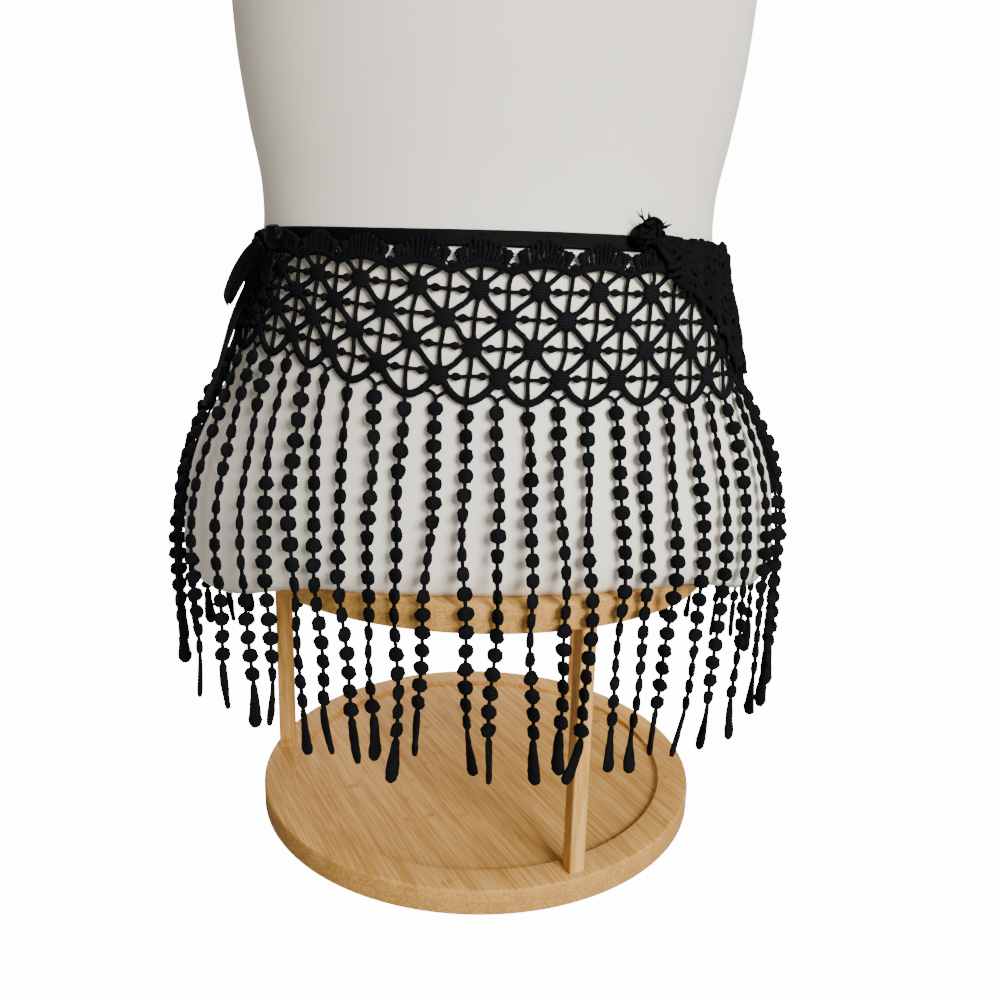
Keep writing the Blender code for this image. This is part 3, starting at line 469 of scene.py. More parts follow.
bodyValues = {
    "sections": np.array((      # height, half width, half depth, centre in Y
        (.1596, .1600, .1110, -.0035), (.1660, .1628, .1135, -.0035), (.1780, .1624, .1135, -.0030),
        (.1980, .1588, .1110, -.0030), (.2140, .1537, .1070, -.0030), (.2400, .1410, .1000, -.0040),
        (.2850, .1258, .0900, -.0050), (.3250, .1166, .0835, -.0050), (.3430, .1170, .0830, -.0050),
        (.3710, .1219, .0855, -.0055), (.4020, .1262, .0895, -.0065), (.4400, .1285, .0935, -.0070),
        (.4800, .1300, .0945, -.0060), (.5300, .1335, .0880, -.0030), (.5750, .1440, .0770, .0020),
        (.6050, .1400, .0680, .0050), (.6300, .1130, .0600, .0070), (.6470, .0800, .0540, .0080),
        (.6650, .0570, .0500, .0070), (.6950, .0510, .0480, .0040), (.7100, .0470, .0440, .0030))),
    "squareness": 2.2,          # 2 is an ellipse, more is squarer
}


def smoothRead(height, column):
    # cubic through the table's rows with the rows' own slopes
    knots, values = bodyValues["sections"][:, 0], bodyValues["sections"][:, column]
    slopes = np.gradient(values, knots)
    height = np.clip(np.asarray(height, float), knots[0], knots[-1])
    index = np.clip(np.searchsorted(knots, height, side="right") - 1, 0, len(knots) - 2)
    span = knots[index + 1] - knots[index]
    t = (height - knots[index]) / span
    return ((2 * t**3 - 3 * t**2 + 1) * values[index] + (t**3 - 2 * t**2 + t) * span * slopes[index]
            + (3 * t**2 - 2 * t**3) * values[index + 1] + (t**3 - t**2) * span * slopes[index + 1])


def sectionPoint(turn, height):
    # a rounded ellipse: sine and cosine raised to 2/squareness, times the half width and depth
    power = 2 / bodyValues["squareness"]
    across, along = np.sin(turn), -np.cos(turn)
    x = smoothRead(height, 1) * np.sign(across) * np.abs(across) ** power
    y = smoothRead(height, 2) * np.sign(along) * np.abs(along) ** power
    return x, y + smoothRead(height, 3)


laceValues = {
    "repeats": 28,
    "pitch": 0.0272,
    "frontColumns": 5.25,       # repeats each side of the centre front at the true pitch
    "rows": (0.2957, 0.2829, 0.2702, 0.2575),    # heights of the four rows of discs
    "skew": 4.4,                # columns that the pattern leans for each metre down
    "thickness": 0.0018,
    "out": 0.0013,              # gap between the form and the lace
    "outOverRibbon": 0.0024,
    "ramp": (0.2980, 0.3085),   # heights between which it steps out over the ribbon
    "discRadius": 0.0047,
    # where the band is drawn up to its tie: column, lift in metres, sideways shift in repeats
    "side": np.array((
        (-13.0, 0.0, 0.0), (-11.0, 0.0010, 0.0), (-9.0, 0.0060, 0.15), (-7.0, 0.0140, 0.35),
        (-6.0, 0.0178, 0.48), (-5.0, 0.0185, 0.50), (-4.0, 0.0165, 0.35), (-3.5, 0.0138, 0.25),
        (-3.0, 0.0110, 0.12), (-2.5, 0.0085, 0.03), (-2.0, 0.0055, 0.0), (-1.0, 0.0012, 0.0),
        (0.0, 0.0, 0.0))),
    # share of that lift at each height
    "liftShares": np.array(((0.2575, 1.0), (0.2702, 0.85), (0.2829, 0.62), (0.2957, 0.38), (0.3180, 0.15))),
}
girthTurns = np.linspace(0.0, math.pi, 481)
girthHeights = np.linspace(0.235, 0.345, 45)


def girthTables():
    # skin length from the centre front, then the turn at each even share of the half girth
    x, y = sectionPoint(girthTurns[None, :], girthHeights[:, None])
    steps = np.hypot(np.diff(x, axis=1), np.diff(y, axis=1))
    lengths = np.concatenate([np.zeros((len(girthHeights), 1)), np.cumsum(steps, axis=1)], axis=1)
    shares = np.linspace(0, 1, len(girthTurns))
    turns = np.array([np.interp(shares * row[-1], row, girthTurns) for row in lengths])
    return lengths[:, -1], turns


halfGirth, turnTable = girthTables()


def wrapColumn(column):
    # the same column counted to half way round the body either way
    half = laceValues["repeats"] / 2
    return (column + half) % (2 * half) - half


def turnOf(column, height):
    # length from the centre front at a column, as a share of the half girth, looked up as a turn
    v = laceValues
    column, height = np.broadcast_arrays(np.asarray(column, float), np.asarray(height, float))
    wrapped = wrapColumn(column - v["skew"] * (v["rows"][0] - height))
    size = np.abs(wrapped)
    rowStep = girthHeights[1] - girthHeights[0]
    row = np.clip((height - girthHeights[0]) / rowStep, 0, len(girthHeights) - 1.001)
    low = row.astype(int)
    blend = row - low
    total = halfGirth[low] * (1 - blend) + halfGirth[low + 1] * blend
    rest = (total - v["frontColumns"] * v["pitch"]) / (v["repeats"] / 2 - v["frontColumns"])
    distance = (np.minimum(size, v["frontColumns"]) * v["pitch"]
                + np.maximum(size - v["frontColumns"], 0) * rest)
    steps = len(girthTurns) - 1
    share = np.clip(distance / total * steps, 0, steps - 0.001)
    left = share.astype(int)
    part = share - left
    turn = ((turnTable[low, left] * (1 - part) + turnTable[low, left + 1] * part) * (1 - blend)
            + (turnTable[low + 1, left] * (1 - part) + turnTable[low + 1, left + 1] * part) * blend)
    return turn * np.sign(wrapped)


def outwardOf(turn, height):
    # square to the line between two section points just either side
    x0, y0 = sectionPoint(turn - 1e-3, height)
    x1, y1 = sectionPoint(turn + 1e-3, height)
    length = np.hypot(x1 - x0, y1 - y0)
    return (y1 - y0) / length, -(x1 - x0) / length


def onBody(column, height, out):
    # skin point at a column and height, moved out level
    column, height, out = np.broadcast_arrays(*(np.asarray(v, float) for v in (column, height, out)))
    turn = turnOf(column, height)
    x, y = sectionPoint(turn, height)
    nx, ny = outwardOf(turn, height)
    return np.stack([x + nx * out, y + ny * out, height], axis=-1)


def laceOut(height):
    # the lace's gap from the form, growing evenly over the ramp
    low, high = laceValues["ramp"]
    rise = np.clip((height - low) / (high - low), 0, 1)
    return laceValues["out"] + (laceValues["outOverRibbon"] - laceValues["out"]) * rise


def laceHeight(column, height):
    # height + the side's lift at that column times the share of it at that height
    side, shares = laceValues["side"], laceValues["liftShares"]
    lift = np.interp(wrapColumn(column), side[:, 0], side[:, 1])
    return height + lift * np.interp(height, shares[:, 0], shares[:, 1])


def onLace(column, height, raised):
    # a place of the band at its own column and height, raised above its inner face
    column, height = np.asarray(column, float), np.asarray(height, float)
    shift = np.interp(wrapColumn(column), laceValues["side"][:, 0], laceValues["side"][:, 2])
    real = laceHeight(column, height)
    return onBody(column + shift, real, laceOut(real) + raised)


def faceOf(place, column, height, raised):
    # outward direction of the laid cloth: across it times up it
    across = place(column + 0.02, height, raised) - place(column - 0.02, height, raised)
    up = place(column, height + 0.0004, raised) - place(column, height - 0.0004, raised)
    return unit(np.cross(across, up))


def pitchAt(place, column, height):
    # metres that one repeat covers there, never under 0.7 of the true pitch
    wide = place(column + 0.1, height, 0.0) - place(column - 0.1, height, 0.0)
    return np.maximum(np.linalg.norm(wide, axis=-1) / 0.2, 0.7 * laceValues["pitch"])


# Dress form

dressFormValues = {
    "rings": 170, "sides": 176,
    "hipDip": 0.012, "hipDipFade": 0.045, "hipDipSpan": 0.022, "seatRadius": 0.131, "seatShare": 0.985,
    "seatHeight": 0.1596, "neckHeight": 0.710,
    "capShrink": (0.985, 0.93, 0.80, 0.55), "capRise": (0.0014, 0.0026, 0.0035, 0.0040),
    "bustHeight": 0.485, "bustOffset": 0.055, "bustSpread": 0.050, "bustReach": 0.017,
}


def makeDressForm(values):
    # rounded sections up to the neck; two soft rises at the bust; the lower edge dips at the hips
    turns = np.arange(values["sides"]) * 2 * np.pi / values["sides"]
    heights = np.linspace(values["seatHeight"], values["neckHeight"], values["rings"])[:, None]
    x, y = sectionPoint(turns[None, :], heights)
    side = np.exp(-((np.abs(x) - values["bustOffset"]) / values["bustSpread"]) ** 2)
    level = np.exp(-((heights - values["bustHeight"]) / values["bustSpread"]) ** 2)
    front = np.clip(-y / smoothRead(heights, 2), 0, 1)
    y = y - values["bustReach"] * side * level * front
    past = np.clip((np.hypot(x, y) - values["seatRadius"]) / values["hipDipSpan"], 0, 1)
    fade = np.clip(1 - (heights - values["seatHeight"]) / values["hipDipFade"], 0, 1)
    z = heights - values["hipDip"] * past**2 * (3 - 2 * past) * fade**2
    skin = np.stack([x, y, z], axis=-1)
    inward = np.minimum(values["seatRadius"] / np.hypot(x[0], y[0]), values["seatShare"])
    seat = np.stack([x[0] * inward, y[0] * inward, np.full_like(x[0], values["seatHeight"])], axis=-1)
    flat = seat * (0.9, 0.9, 1.0)
    shrink, rise = (np.array(values[name])[:, None] for name in ("capShrink", "capRise"))
    middle = smoothRead(values["neckHeight"], 3)
    cap = np.stack([x[-1] * shrink, (y[-1] - middle) * shrink + middle, z[-1] + rise], axis=-1)
    points = np.concatenate([flat[None], seat[None], skin, cap])[None]
    top = values["neckHeight"] + values["capRise"][-1]
    ends = np.array([[(0, 0, values["seatHeight"]), (0, middle, top)]])
    batch = Batch()
    rows = np.linspace(0, 1, points.shape[1])[None]
    batch.addTubes(points[:, :, ::-1], ends, rows, np.ones_like(rows))
    return batch.piece("dressForm", formPlastic, "dress_form")


makeDressForm(dressFormValues)


# Bamboo stand

standValues = {
    "radius": 0.127, "thickness": 0.0135, "rim": 0.0175, "recess": 0.003, "trayUnderside": 0.1458,
    "footRound": 0.0009, "edgeRound": 0.0015, "lipRound": 0.0007, "floorRound": 0.0005,
    "postWidth": 0.0085, "postRound": 0.0012, "postRing": 0.1187,
    "postAngles": (168.7, -71.3, 48.7), "seam": 0.0003, "sides": 160,
    "baseGrainShift": 0.31, "trayGrainShift": 0.77,
    "grainTurn": -69.0,         # degrees from +X that the grain of the flat faces runs
}


def roundCorner(centre, radius, start, end, steps):
    # points of a circle from one angle to another, in degrees
    angle = np.radians(np.linspace(start, end, steps))
    return np.stack([centre[0] + radius * np.cos(angle), centre[1] + radius * np.sin(angle)], axis=1)


def grainUv(x, y, grainTurn, shift):
    # the place turned so that the first coordinate runs along the grain
    turn = math.radians(grainTurn)
    return paired(x * math.cos(turn) + y * math.sin(turn) + shift,
                  y * math.cos(turn) - x * math.sin(turn) + shift)


def makeBoard(name, node, underside, values, grainShift, finish):
    # a rounded profile turned about Z; its map runs straight across the board, along the grain
    top, radius = underside + values["thickness"], values["radius"]
    inner, floor = radius - values["rim"], top - values["recess"]
    foot, edge, lip, bend = (values[key] for key in ("footRound", "edgeRound", "lipRound", "floorRound"))
    profile = np.concatenate([
        [(0.030, underside), (0.08, underside)],
        roundCorner((radius - foot, underside + foot), foot, -90, 0, 5),
        [(radius, underside + 0.0066), (radius, underside + 0.0070)],
        roundCorner((radius - edge, top - edge), edge, 0, 90, 6),
        [(radius - 0.009, top)],
        roundCorner((inner + lip, top - lip), lip, 90, 180, 5),
        roundCorner((inner - bend, floor + bend), bend, 0, -90, 4),
        [(0.06, floor), (0.030, floor)]])
    angle = np.arange(values["sides"]) * 2 * np.pi / values["sides"]
    x = profile[:, :1] * np.cos(angle)
    y = profile[:, :1] * np.sin(angle)
    z = np.broadcast_to(profile[:, 1:], x.shape)
    uv = grainUv(x, y, values["grainTurn"], grainShift)
    batch = Batch()
    batch.addBand(np.stack([x, y, z], axis=-1)[::-1], uv[::-1])
    # a fan of triangles closes each flat face at its middle
    last = len(profile) - 1
    number = np.arange(x.size).reshape(x.shape)
    for row, height, order in ((last, underside, -1), (0, floor, 1)):
        ring, ringUv = number[row], uv[last - row]
        middle = np.full_like(ring, batch.count)
        batch.points.append(np.array([[0, 0, height]]))
        batch.count += 1
        middleUv = np.broadcast_to(grainUv(0.0, 0.0, values["grainTurn"], grainShift), ringUv.shape)
        faces = np.stack([middle, ring, np.roll(ring, -1)], axis=-1)
        corners = np.stack([middleUv, ringUv, np.roll(ringUv, -1, axis=0)], axis=-2)
        batch.addFaces(faces[:, ::order], corners[:, ::order])
    return batch.piece(name, finish, node, "grain")


def makePost(name, node, angleDegrees, values):
    # a square bar with rounded corners, carried up between the boards, its ends closed
    half, soft = values["postWidth"] / 2, values["postRound"]
    inset = half - soft
    outline = np.concatenate([
        roundCorner((sideX * inset, sideY * inset), soft, start, start + 90, 5)
        for sideX, sideY, start in ((1, 1, 0), (-1, 1, 90), (-1, -1, 180), (1, -1, 270))])
    low, high = values["thickness"] + values["seam"], values["trayUnderside"] - values["seam"]
    heights = np.concatenate([[low], np.linspace(low + 0.0002, high - 0.0002, 12), [high]])
    angle = math.radians(angleDegrees)
    middle = (values["postRing"] * math.cos(angle), values["postRing"] * math.sin(angle))
    turned = outline @ np.array(((math.cos(angle), math.sin(angle)), (-math.sin(angle), math.cos(angle))))
    x, y = turned[:, 0] + middle[0], turned[:, 1] + middle[1]
    ring = np.stack(np.broadcast_arrays(x[None, :], y[None, :], heights[:, None]), axis=-1)[None]
    ends = np.array([[(*middle, low), (*middle, high)]])
    batch = Batch()
    along = heights[None] + angleDegrees * 0.01
    batch.addTubes(ring[:, :, ::-1], ends, along, np.full_like(along, 4 * values["postWidth"]))
    return batch.piece(name, bambooPost, node, "grain")


trayGlue = standValues["trayUnderside"] + bambooValues["glueAt"]
bambooBase = bambooFinish("bamboo base", bambooValues, bambooValues["stripWidth"], bambooValues["glueAt"])
bambooTray = bambooFinish("bamboo tray", bambooValues, bambooValues["stripWidth"], trayGlue)
bambooPost = bambooFinish("bamboo post", bambooValues, bambooValues["postStripWidth"])
makeBoard("standBase", "stand_base", 0.0, standValues, standValues["baseGrainShift"], bambooBase)
makeBoard("standTray", "stand_tray", standValues["trayUnderside"], standValues,
          standValues["trayGrainShift"], bambooTray)
for number, postAngle in enumerate(standValues["postAngles"], start=1):
    makePost(f"standPost{number}", f"stand_post_{number}", postAngle, standValues)
print("stand and form ready")


# Lace band

cordValues = {
    # half widths of the cords
    "diagonal": 0.00132, "vertical": 0.00096, "bar": 0.00084, "arc": 0.00158, "spoke": 0.00108,
    "finger": 0.00112, "bud": 0.00235, "cross": 0.00048, "knot": 0.00150,
    # half depths
    "depth": 0.00108, "arcDepth": 0.0012, "barDepth": 0.00135,
    # two beads on each bar: their places as shares of the bar, and half their length and height
    "barBeadAt": 0.285, "barBeadHalfLong": 0.0023, "barBeadHalfTall": 0.00190,
    "ribs": 0.16,               # how much every other ring swells
    "spacing": 0.00042,         # between two rings
    # heights along the top edge
    "arcPeak": 0.3068, "arcDrop": 0.0036, "fingerTop": 0.3176, "fingerSideDrop": 0.0036,
    "budFoot": 0.3046, "budTop": 0.3132, "crossFoot": 0.3045, "crossTop": 0.3072,
    "knotFoot": 0.3049, "knotTall": 0.0030,
    "uprightFoot": 0.2480,      # height where the lowest uprights end
    "fingerCount": 9,
}
discValues = {
    # share of the radius and of the dome's rise at each ring, from the back to the front
    "rings": np.array(((0.55, -0.75), (0.90, -0.60), (1.0, -0.12),
                       (0.965, 0.42), (0.80, 0.80), (0.48, 1.0))),
    "dome": 0.00155, "sides": 16,
}


def cordStations(length):
    # rings for a cord of that length, six at least
    return max(int(length / cordValues["spacing"]), 6)


def laidTube(batch, place, column, height, halfWidth, halfDepth, lift=0.0, **shape):
    # a tube whose path is given on the cloth; its middle lies at half the cloth's thickness
    raised = laceValues["thickness"] / 2 + lift
    centre = place(column, height, raised)
    tube(batch, centre, faceOf(place, column, height, raised), halfWidth, halfDepth, **shape)


def nudge(count, size):
    # a small random number for each cord
    return rng.normal(0, size, count)


def wobble(count, stations, size):
    # a slow bend of its own for each cord, nil at both ends
    t = np.linspace(0, 1, stations)[None]
    first, second = rng.normal(0, size, (2, count, 1))
    return first * np.sin(np.pi * t) + second * 0.6 * np.sin(2 * np.pi * t)


def straightCords(batch, place, start, end, halfWidth, bow, length, ribs, sides=8):
    # straight from start to end, each a column and a height; bent aside by bow at the middle
    *corners, bow = np.broadcast_arrays(*start, *end, bow)
    start, end = np.stack(corners[:2]), np.stack(corners[2:])
    pitch, stations = laceValues["pitch"], cordStations(length)
    t = np.linspace(0, 1, stations)[None]
    path = start[:, :, None] * (1 - t) + end[:, :, None] * t
    dx, dy = (end[0] - start[0]) * pitch, end[1] - start[1]
    size = np.hypot(dx, dy)
    offset = bow[:, None] * np.sin(np.pi * t) + wobble(len(dx), stations, 0.00024)
    column = path[0] - (dy / size)[:, None] * offset / pitch
    height = path[1] + (dx / size)[:, None] * offset
    flare = 1 + 0.22 * (np.exp(-t * size[:, None] / 0.0011) + np.exp(-(1 - t) * size[:, None] / 0.0011))
    laidTube(batch, place, column, height, halfWidth * flare, min(halfWidth, cordValues["depth"]),
             sides=sides, ribs=ribs)


def discUv(across, up):
    # maps of the side and the two tips: the first coordinate follows the height, so ridges lie across
    u, v = (up * 1000 * 0.62)[:, :, ::-1], (across * 1000 * 0.3)[:, :, ::-1]
    corner = paired(u, v)
    after = np.roll(corner, -1, axis=2)
    parts = [np.stack([corner[:, :-1], corner[:, 1:], after[:, 1:], after[:, :-1]], axis=-2)]
    for station, order in ((0, 1), (-1, -1)):
        middle = np.zeros_like(corner[:, station])
        parts.append(np.stack([middle, corner[:, station], after[:, station]][::order], axis=-2))
    return [part.reshape(-1, 2) for part in parts]


def addDiscs(batch, place, columns, heights, radius):
    # a low cushion: rings shrink to the middle as the dome rises, each a little wavy
    dome, rings = discValues["dome"], discValues["rings"][None]
    share, rise = rings[..., :1], rings[..., 1:]
    angle = np.arange(discValues["sides"]) * 2 * np.pi / discValues["sides"]
    wave = 1 + 0.022 * np.cos(8 * angle)
    grow = rng.normal(1.0, 0.025, (len(columns), 1, 1))
    across = share * radius * (np.cos(angle) * wave)[None, None] * grow
    up = share * radius * (np.sin(angle) * wave)[None, None] * grow
    column = columns[:, None, None] + across / pitchAt(place, columns, heights)[:, None, None]
    height = heights[:, None, None] + up
    half = laceValues["thickness"] / 2
    points = place(column, height, half + rise * dome + np.zeros_like(across))
    ends = np.stack([place(columns, heights, half - 0.75 * dome),
                     place(columns, heights, half + 1.06 * dome)], axis=1)
    batch.addTubes(points[:, :, ::-1], ends, np.zeros(points.shape[:2]), np.ones(points.shape[:2]))
    batch.uvs[-3:] = discUv(across, up)


def addBars(batch, place, at, level):
    # from each disc to the next in its row; a bead's half height is that of an ellipse
    v, stations = cordValues, 44
    t = np.linspace(0, 1, stations)[None]
    offCentre = [(t - middle) * laceValues["pitch"] for middle in (v["barBeadAt"], 1 - v["barBeadAt"])]
    bead = sum(np.sqrt(np.clip(1 - (off / v["barBeadHalfLong"]) ** 2, 0, 1)) for off in offCentre)
    half = np.maximum(v["bar"], bead * v["barBeadHalfTall"])
    sag = wobble(len(at), stations, 0.00028)
    laidTube(batch, place, at[:, None] + t, level[:, None] + sag, half, np.minimum(half, v["barDepth"]),
             ribs=0.02)


def addDiagonals(batch, place, at, row):
    # two cords slant from each disc down to the next row, from edge to edge of the discs
    pitch, rows = laceValues["pitch"], laceValues["rows"]
    drop = rows[row] - rows[row + 1]
    run = np.hypot(0.5 * pitch, rows[0] - rows[1])
    inside = laceValues["discRadius"] * 0.85 / run
    for way in (-1, 1):
        start = (at + way * 0.5 * inside, rows[row] - drop * inside)
        end = (at + way * 0.5 * (1 - inside), rows[row] - drop * (1 - inside))
        bow = way * (0.00028 + nudge(len(at), 0.00016)) * (1 if row % 2 else -1)
        straightCords(batch, place, start, end, cordValues["diagonal"], bow, run * 0.55, cordValues["ribs"])


def addUprights(batch, place, at, row):
    # from each disc down across the next row's bar, to the disc two rows down or to the lower cord
    v, rows, edge = cordValues, laceValues["rows"], laceValues["discRadius"] * 0.85
    foot = rows[row + 2] + edge if row < 2 else v["uprightFoot"]
    top = rows[row] - edge
    straightCords(batch, place, (at, top), (at + nudge(len(at), 0.006), foot), v["vertical"],
                  nudge(len(at), 0.0008), top - foot, v["ribs"] * 0.8)


def addScallops(batch, place, discs, dips):
    # the scalloped cord over row 1, three spokes up to it from each disc, an upright under each dip
    v, rows, radius = cordValues, laceValues["rows"], laceValues["discRadius"]
    peak, drop = v["arcPeak"], v["arcDrop"]
    t = np.linspace(-0.5, 0.5, 66)[None]
    column = discs[:, None] + t
    arch = peak - drop * (2 * np.abs(t)) ** 2.0
    laidTube(batch, place, column, arch + np.zeros_like(column), v["arc"], v["arcDepth"], ribs=v["ribs"])
    straightCords(batch, place, (discs, rows[0] + radius * 0.85), (discs + nudge(len(discs), 0.01), peak),
                  v["vertical"], 0.0, 0.0065, v["ribs"] * 0.8)
    reach = radius * 0.80 / laceValues["pitch"]
    for way in (-1, 1):
        start = (discs + way * reach * 0.72, rows[0] + radius * 0.62)
        end = (discs + way * 0.365, peak - drop * 0.53)
        straightCords(batch, place, start, end, v["spoke"], 0.0, 0.0090, v["ribs"])
    foot = (dips + nudge(len(dips), 0.008), rows[1] + radius * 0.85)
    straightCords(batch, place, (dips, peak - drop), foot, v["vertical"], nudge(len(dips), 0.0005),
                  0.016, v["ribs"] * 0.8)


def addFans(batch, place, discs):
    # fingers spread from the scalloped cord over each disc, each with a rounded tip
    v, stations = cordValues, 17
    spread = np.linspace(-1, 1, v["fingerCount"])
    at, way = (a.reshape(-1) for a in np.meshgrid(discs, spread, indexing="ij"))
    count = len(at)
    t = np.linspace(0, 1, stations)[None]
    baseColumn, tipColumn = at + way * 0.245, at + way * 0.335 + nudge(count, 0.006)
    base = v["arcPeak"] - v["arcDrop"] * (0.49 * way) ** 2 + 0.0004
    tip = v["fingerTop"] - v["fingerSideDrop"] * way**2 + nudge(count, 0.0004)
    column = baseColumn[:, None] + (tipColumn - baseColumn)[:, None] * t**0.8
    column = column + wobble(count, stations, 0.006)
    height = base[:, None] + (tip - base)[:, None] * t
    bulb = v["finger"] * (0.86 + 0.34 * np.exp(-((t - 0.86) / 0.13) ** 2))
    bulb = bulb * np.sqrt(np.clip((1.02 - t) / 0.09, 0.15, 1))
    laidTube(batch, place, column, height, bulb, bulb * 0.95, lift=nudge((count, 1), 0.00012),
             ribs=v["ribs"] * 1.3, endRound=0.3)


def addBuds(batch, place, dips):
    # two fat buds lean together over each dip, with a thin cord up to each and a small knot between
    v, stations = cordValues, 17
    t = np.linspace(0, 1, stations)[None]
    bulb = v["bud"] * (0.50 + 0.50 * np.exp(-((t - 0.80) / 0.34) ** 2))
    bulb = bulb * np.sqrt(np.clip((1.02 - t) / 0.15, 0.12, 1))
    for way in (-1, 1):
        column = dips[:, None] + way * (0.170 - 0.078 * t**0.8) + wobble(len(dips), stations, 0.004)
        height = v["budFoot"] + (v["budTop"] - v["budFoot"]) * t + 0 * column
        laidTube(batch, place, column, height, bulb, bulb * 0.8, ribs=v["ribs"], endRound=0.3)
        start, end = (dips + way * 0.012, v["crossFoot"]), (dips + way * 0.088, v["crossTop"])
        straightCords(batch, place, start, end, v["cross"], way * 0.0002, 0.0034, 0.05, sides=6)
    t = np.linspace(0, 1, 9)[None]
    column = dips[:, None] + 0 * t
    lump = v["knot"] * np.sqrt(np.clip(1 - (2 * t - 1) ** 2, 0.06, 1))
    laidTube(batch, place, column, v["knotFoot"] + v["knotTall"] * t + 0 * column, lump, lump * 0.7)


def makeLace(batch, place, first, last):
    # every cord whose own column lies from first to last; discs stand on half columns in rows 1 and 3
    halves = np.arange(math.ceil(first * 2), math.ceil(last * 2)) / 2
    isWhole = np.isclose(halves % 1, 0)
    for row, rowHeight in enumerate(laceValues["rows"]):
        at = halves[isWhole != (row % 2 == 0)]
        level = np.full(len(at), rowHeight) + nudge(len(at), 0.00018)
        addDiscs(batch, place, at, level, laceValues["discRadius"])
        addBars(batch, place, at, level)
        if row < len(laceValues["rows"]) - 1:
            addDiagonals(batch, place, at, row)
            addUprights(batch, place, at, row)
    discs, dips = halves[~isWhole], halves[isWhole]
    addScallops(batch, place, discs, dips)
    addFans(batch, place, discs)
    addBuds(batch, place, dips)


def makeLacePart(name, node, first, last):
    # the band from one column to another
    batch = Batch()
    makeLace(batch, onLace, first, last)
    return batch.piece(name, laceThread, node)


front, repeats = laceValues["frontColumns"], laceValues["repeats"]
laceFront = makeLacePart("laceFront", "lace_front", -front, front)
laceBackRight = makeLacePart("laceBackRight", "lace_back", front, repeats / 2)
laceBackLeft = makeLacePart("laceBackLeft", "lace_back", repeats / 2, repeats - front)
print("lace ready")


# Fringe: the scalloped lower cord, and its strands of flat thread beads

fringeValues = {
    "top": 0.2508, "dip": 0.0039, "half": 0.0014,
    # the lower cord: half span in repeats, rise of its ends, half width and depth
    "arcSpan": 0.40, "arcRise": 0.0076, "arcHalf": 0.00178, "arcDepth": 0.0012,
    # the arms: half span in repeats, their feet over the lower cord, their tops under the top line
    "armSpan": 0.235, "armFoot": 0.0034, "armHalf": 0.00084, "armDrop": 0.0031,
    "rootDrop": 0.0015,         # how much lower a strand starts where two arms meet
    "beads": 17, "beadHalfWidth": 0.00380, "beadHalfDepth": 0.00185, "link": 0.00090,
    "beadShare": 0.380, "beadRings": (-1.0, -0.89, -0.66, -0.26, 0.26, 0.66, 0.89, 1.0),
    "dropLength": 0.0225, "dropHalfWidth": 0.0036, "dropHalfDepth": 0.0015, "dropBend": 0.0030,
    "dropRings": (0.08, 0.16, 0.30, 0.44, 0.58, 0.72, 0.82, 0.90, 0.96, 1.0),
    "stem": 0.0016, "clearance": 0.0042, "length": 0.175,
    # strands that the photo shows: column, sideways lean at the tip, length
    "strands": (
        (-5.5, .0060, .1790), (-5.0, .0110, .1800), (-4.5, .0140, .1800), (-4.0, .0097, .1800),
        (-3.5, .0120, .1835), (-3.0, .0104, .1820), (-2.5, .0105, .1790), (-2.0, .0051, .1775),
        (-1.5, -.0001, .1810), (-1.0, -.0047, .1670), (-0.5, .0021, .1720), (0.0, -.0021, .1790),
        (0.5, .0039, .1770), (1.0, .0011, .1770), (1.5, -.0040, .1790), (2.0, -.0020, .1800),
        (2.5, -.0055, .1800), (3.0, -.0100, .1760), (3.5, -.0063, .1760), (4.0, -.0107, .1800),
        (4.5, -.0060, .1790), (5.0, -.0030, .1760), (5.5, .0010, .1750)),
}


def hashUnit(number, salt):
    # the same number from -1 to 1 every time: the fraction of a large sine, doubled, less one
    return 2 * ((np.sin(number * 12.9898 + salt * 78.233) * 43758.5453) % 1.0) - 1


def strandValues(columns):
    # lean and length: from the table where the photo shows the strand, else about the usual ones
    wrapped = wrapColumn(columns)
    lean = 0.0014 * hashUnit(columns, 1.0)
    length = fringeValues["length"] + 0.003 * hashUnit(columns, 2.0)
    for column, ownLean, ownLength in fringeValues["strands"]:
        same = np.isclose(wrapped, column)
        lean[same], length[same] = ownLean, ownLength
    return lean, length


def reachOf(root, normal, heights):
    # level distance from a root to the form's side, or to the tray's where it stands further out
    under, over = standValues["trayUnderside"], standValues["trayUnderside"] + standValues["thickness"]
    along = (root[:, :2] * normal).sum(axis=1)[:, None]
    across = (root[:, 0] * normal[:, 1] - root[:, 1] * normal[:, 0])[:, None]
    tray = np.sqrt(np.maximum(standValues["radius"] ** 2 - across**2, 0)) - along
    tray = np.where((heights >= under - 0.001) & (heights <= over + 0.001), tray, -1.0)
    level = np.maximum(heights, bodyValues["sections"][0, 0])
    a, b, centre = (smoothRead(level, k) for k in (1, 2, 3))
    power = bodyValues["squareness"]
    near, far = np.full(heights.shape, -0.05), np.full(heights.shape, 0.08)
    # found by halving the distance between a point inside the section and one outside
    for _ in range(26):
        middle = (near + far) / 2
        x = root[:, :1] + normal[:, :1] * middle
        y = root[:, 1:2] + normal[:, 1:] * middle - centre
        inside = np.abs(x / a) ** power + np.abs(y / b) ** power < 1
        near, far = np.where(inside, middle, near), np.where(inside, far, middle)
    return np.where(heights < under, tray, np.maximum(near, tray))


def normalsAt(root):
    # level outward direction at each root, from the turn at which the section has that point
    x = root[:, 0] / smoothRead(root[:, 2], 1)
    y = (root[:, 1] - smoothRead(root[:, 2], 3)) / smoothRead(root[:, 2], 2)
    power = bodyValues["squareness"] / 2
    turn = np.arctan2(np.sign(x) * np.abs(x) ** power, -np.sign(y) * np.abs(y) ** power)
    return np.stack(outwardOf(turn, root[:, 2]), axis=1)


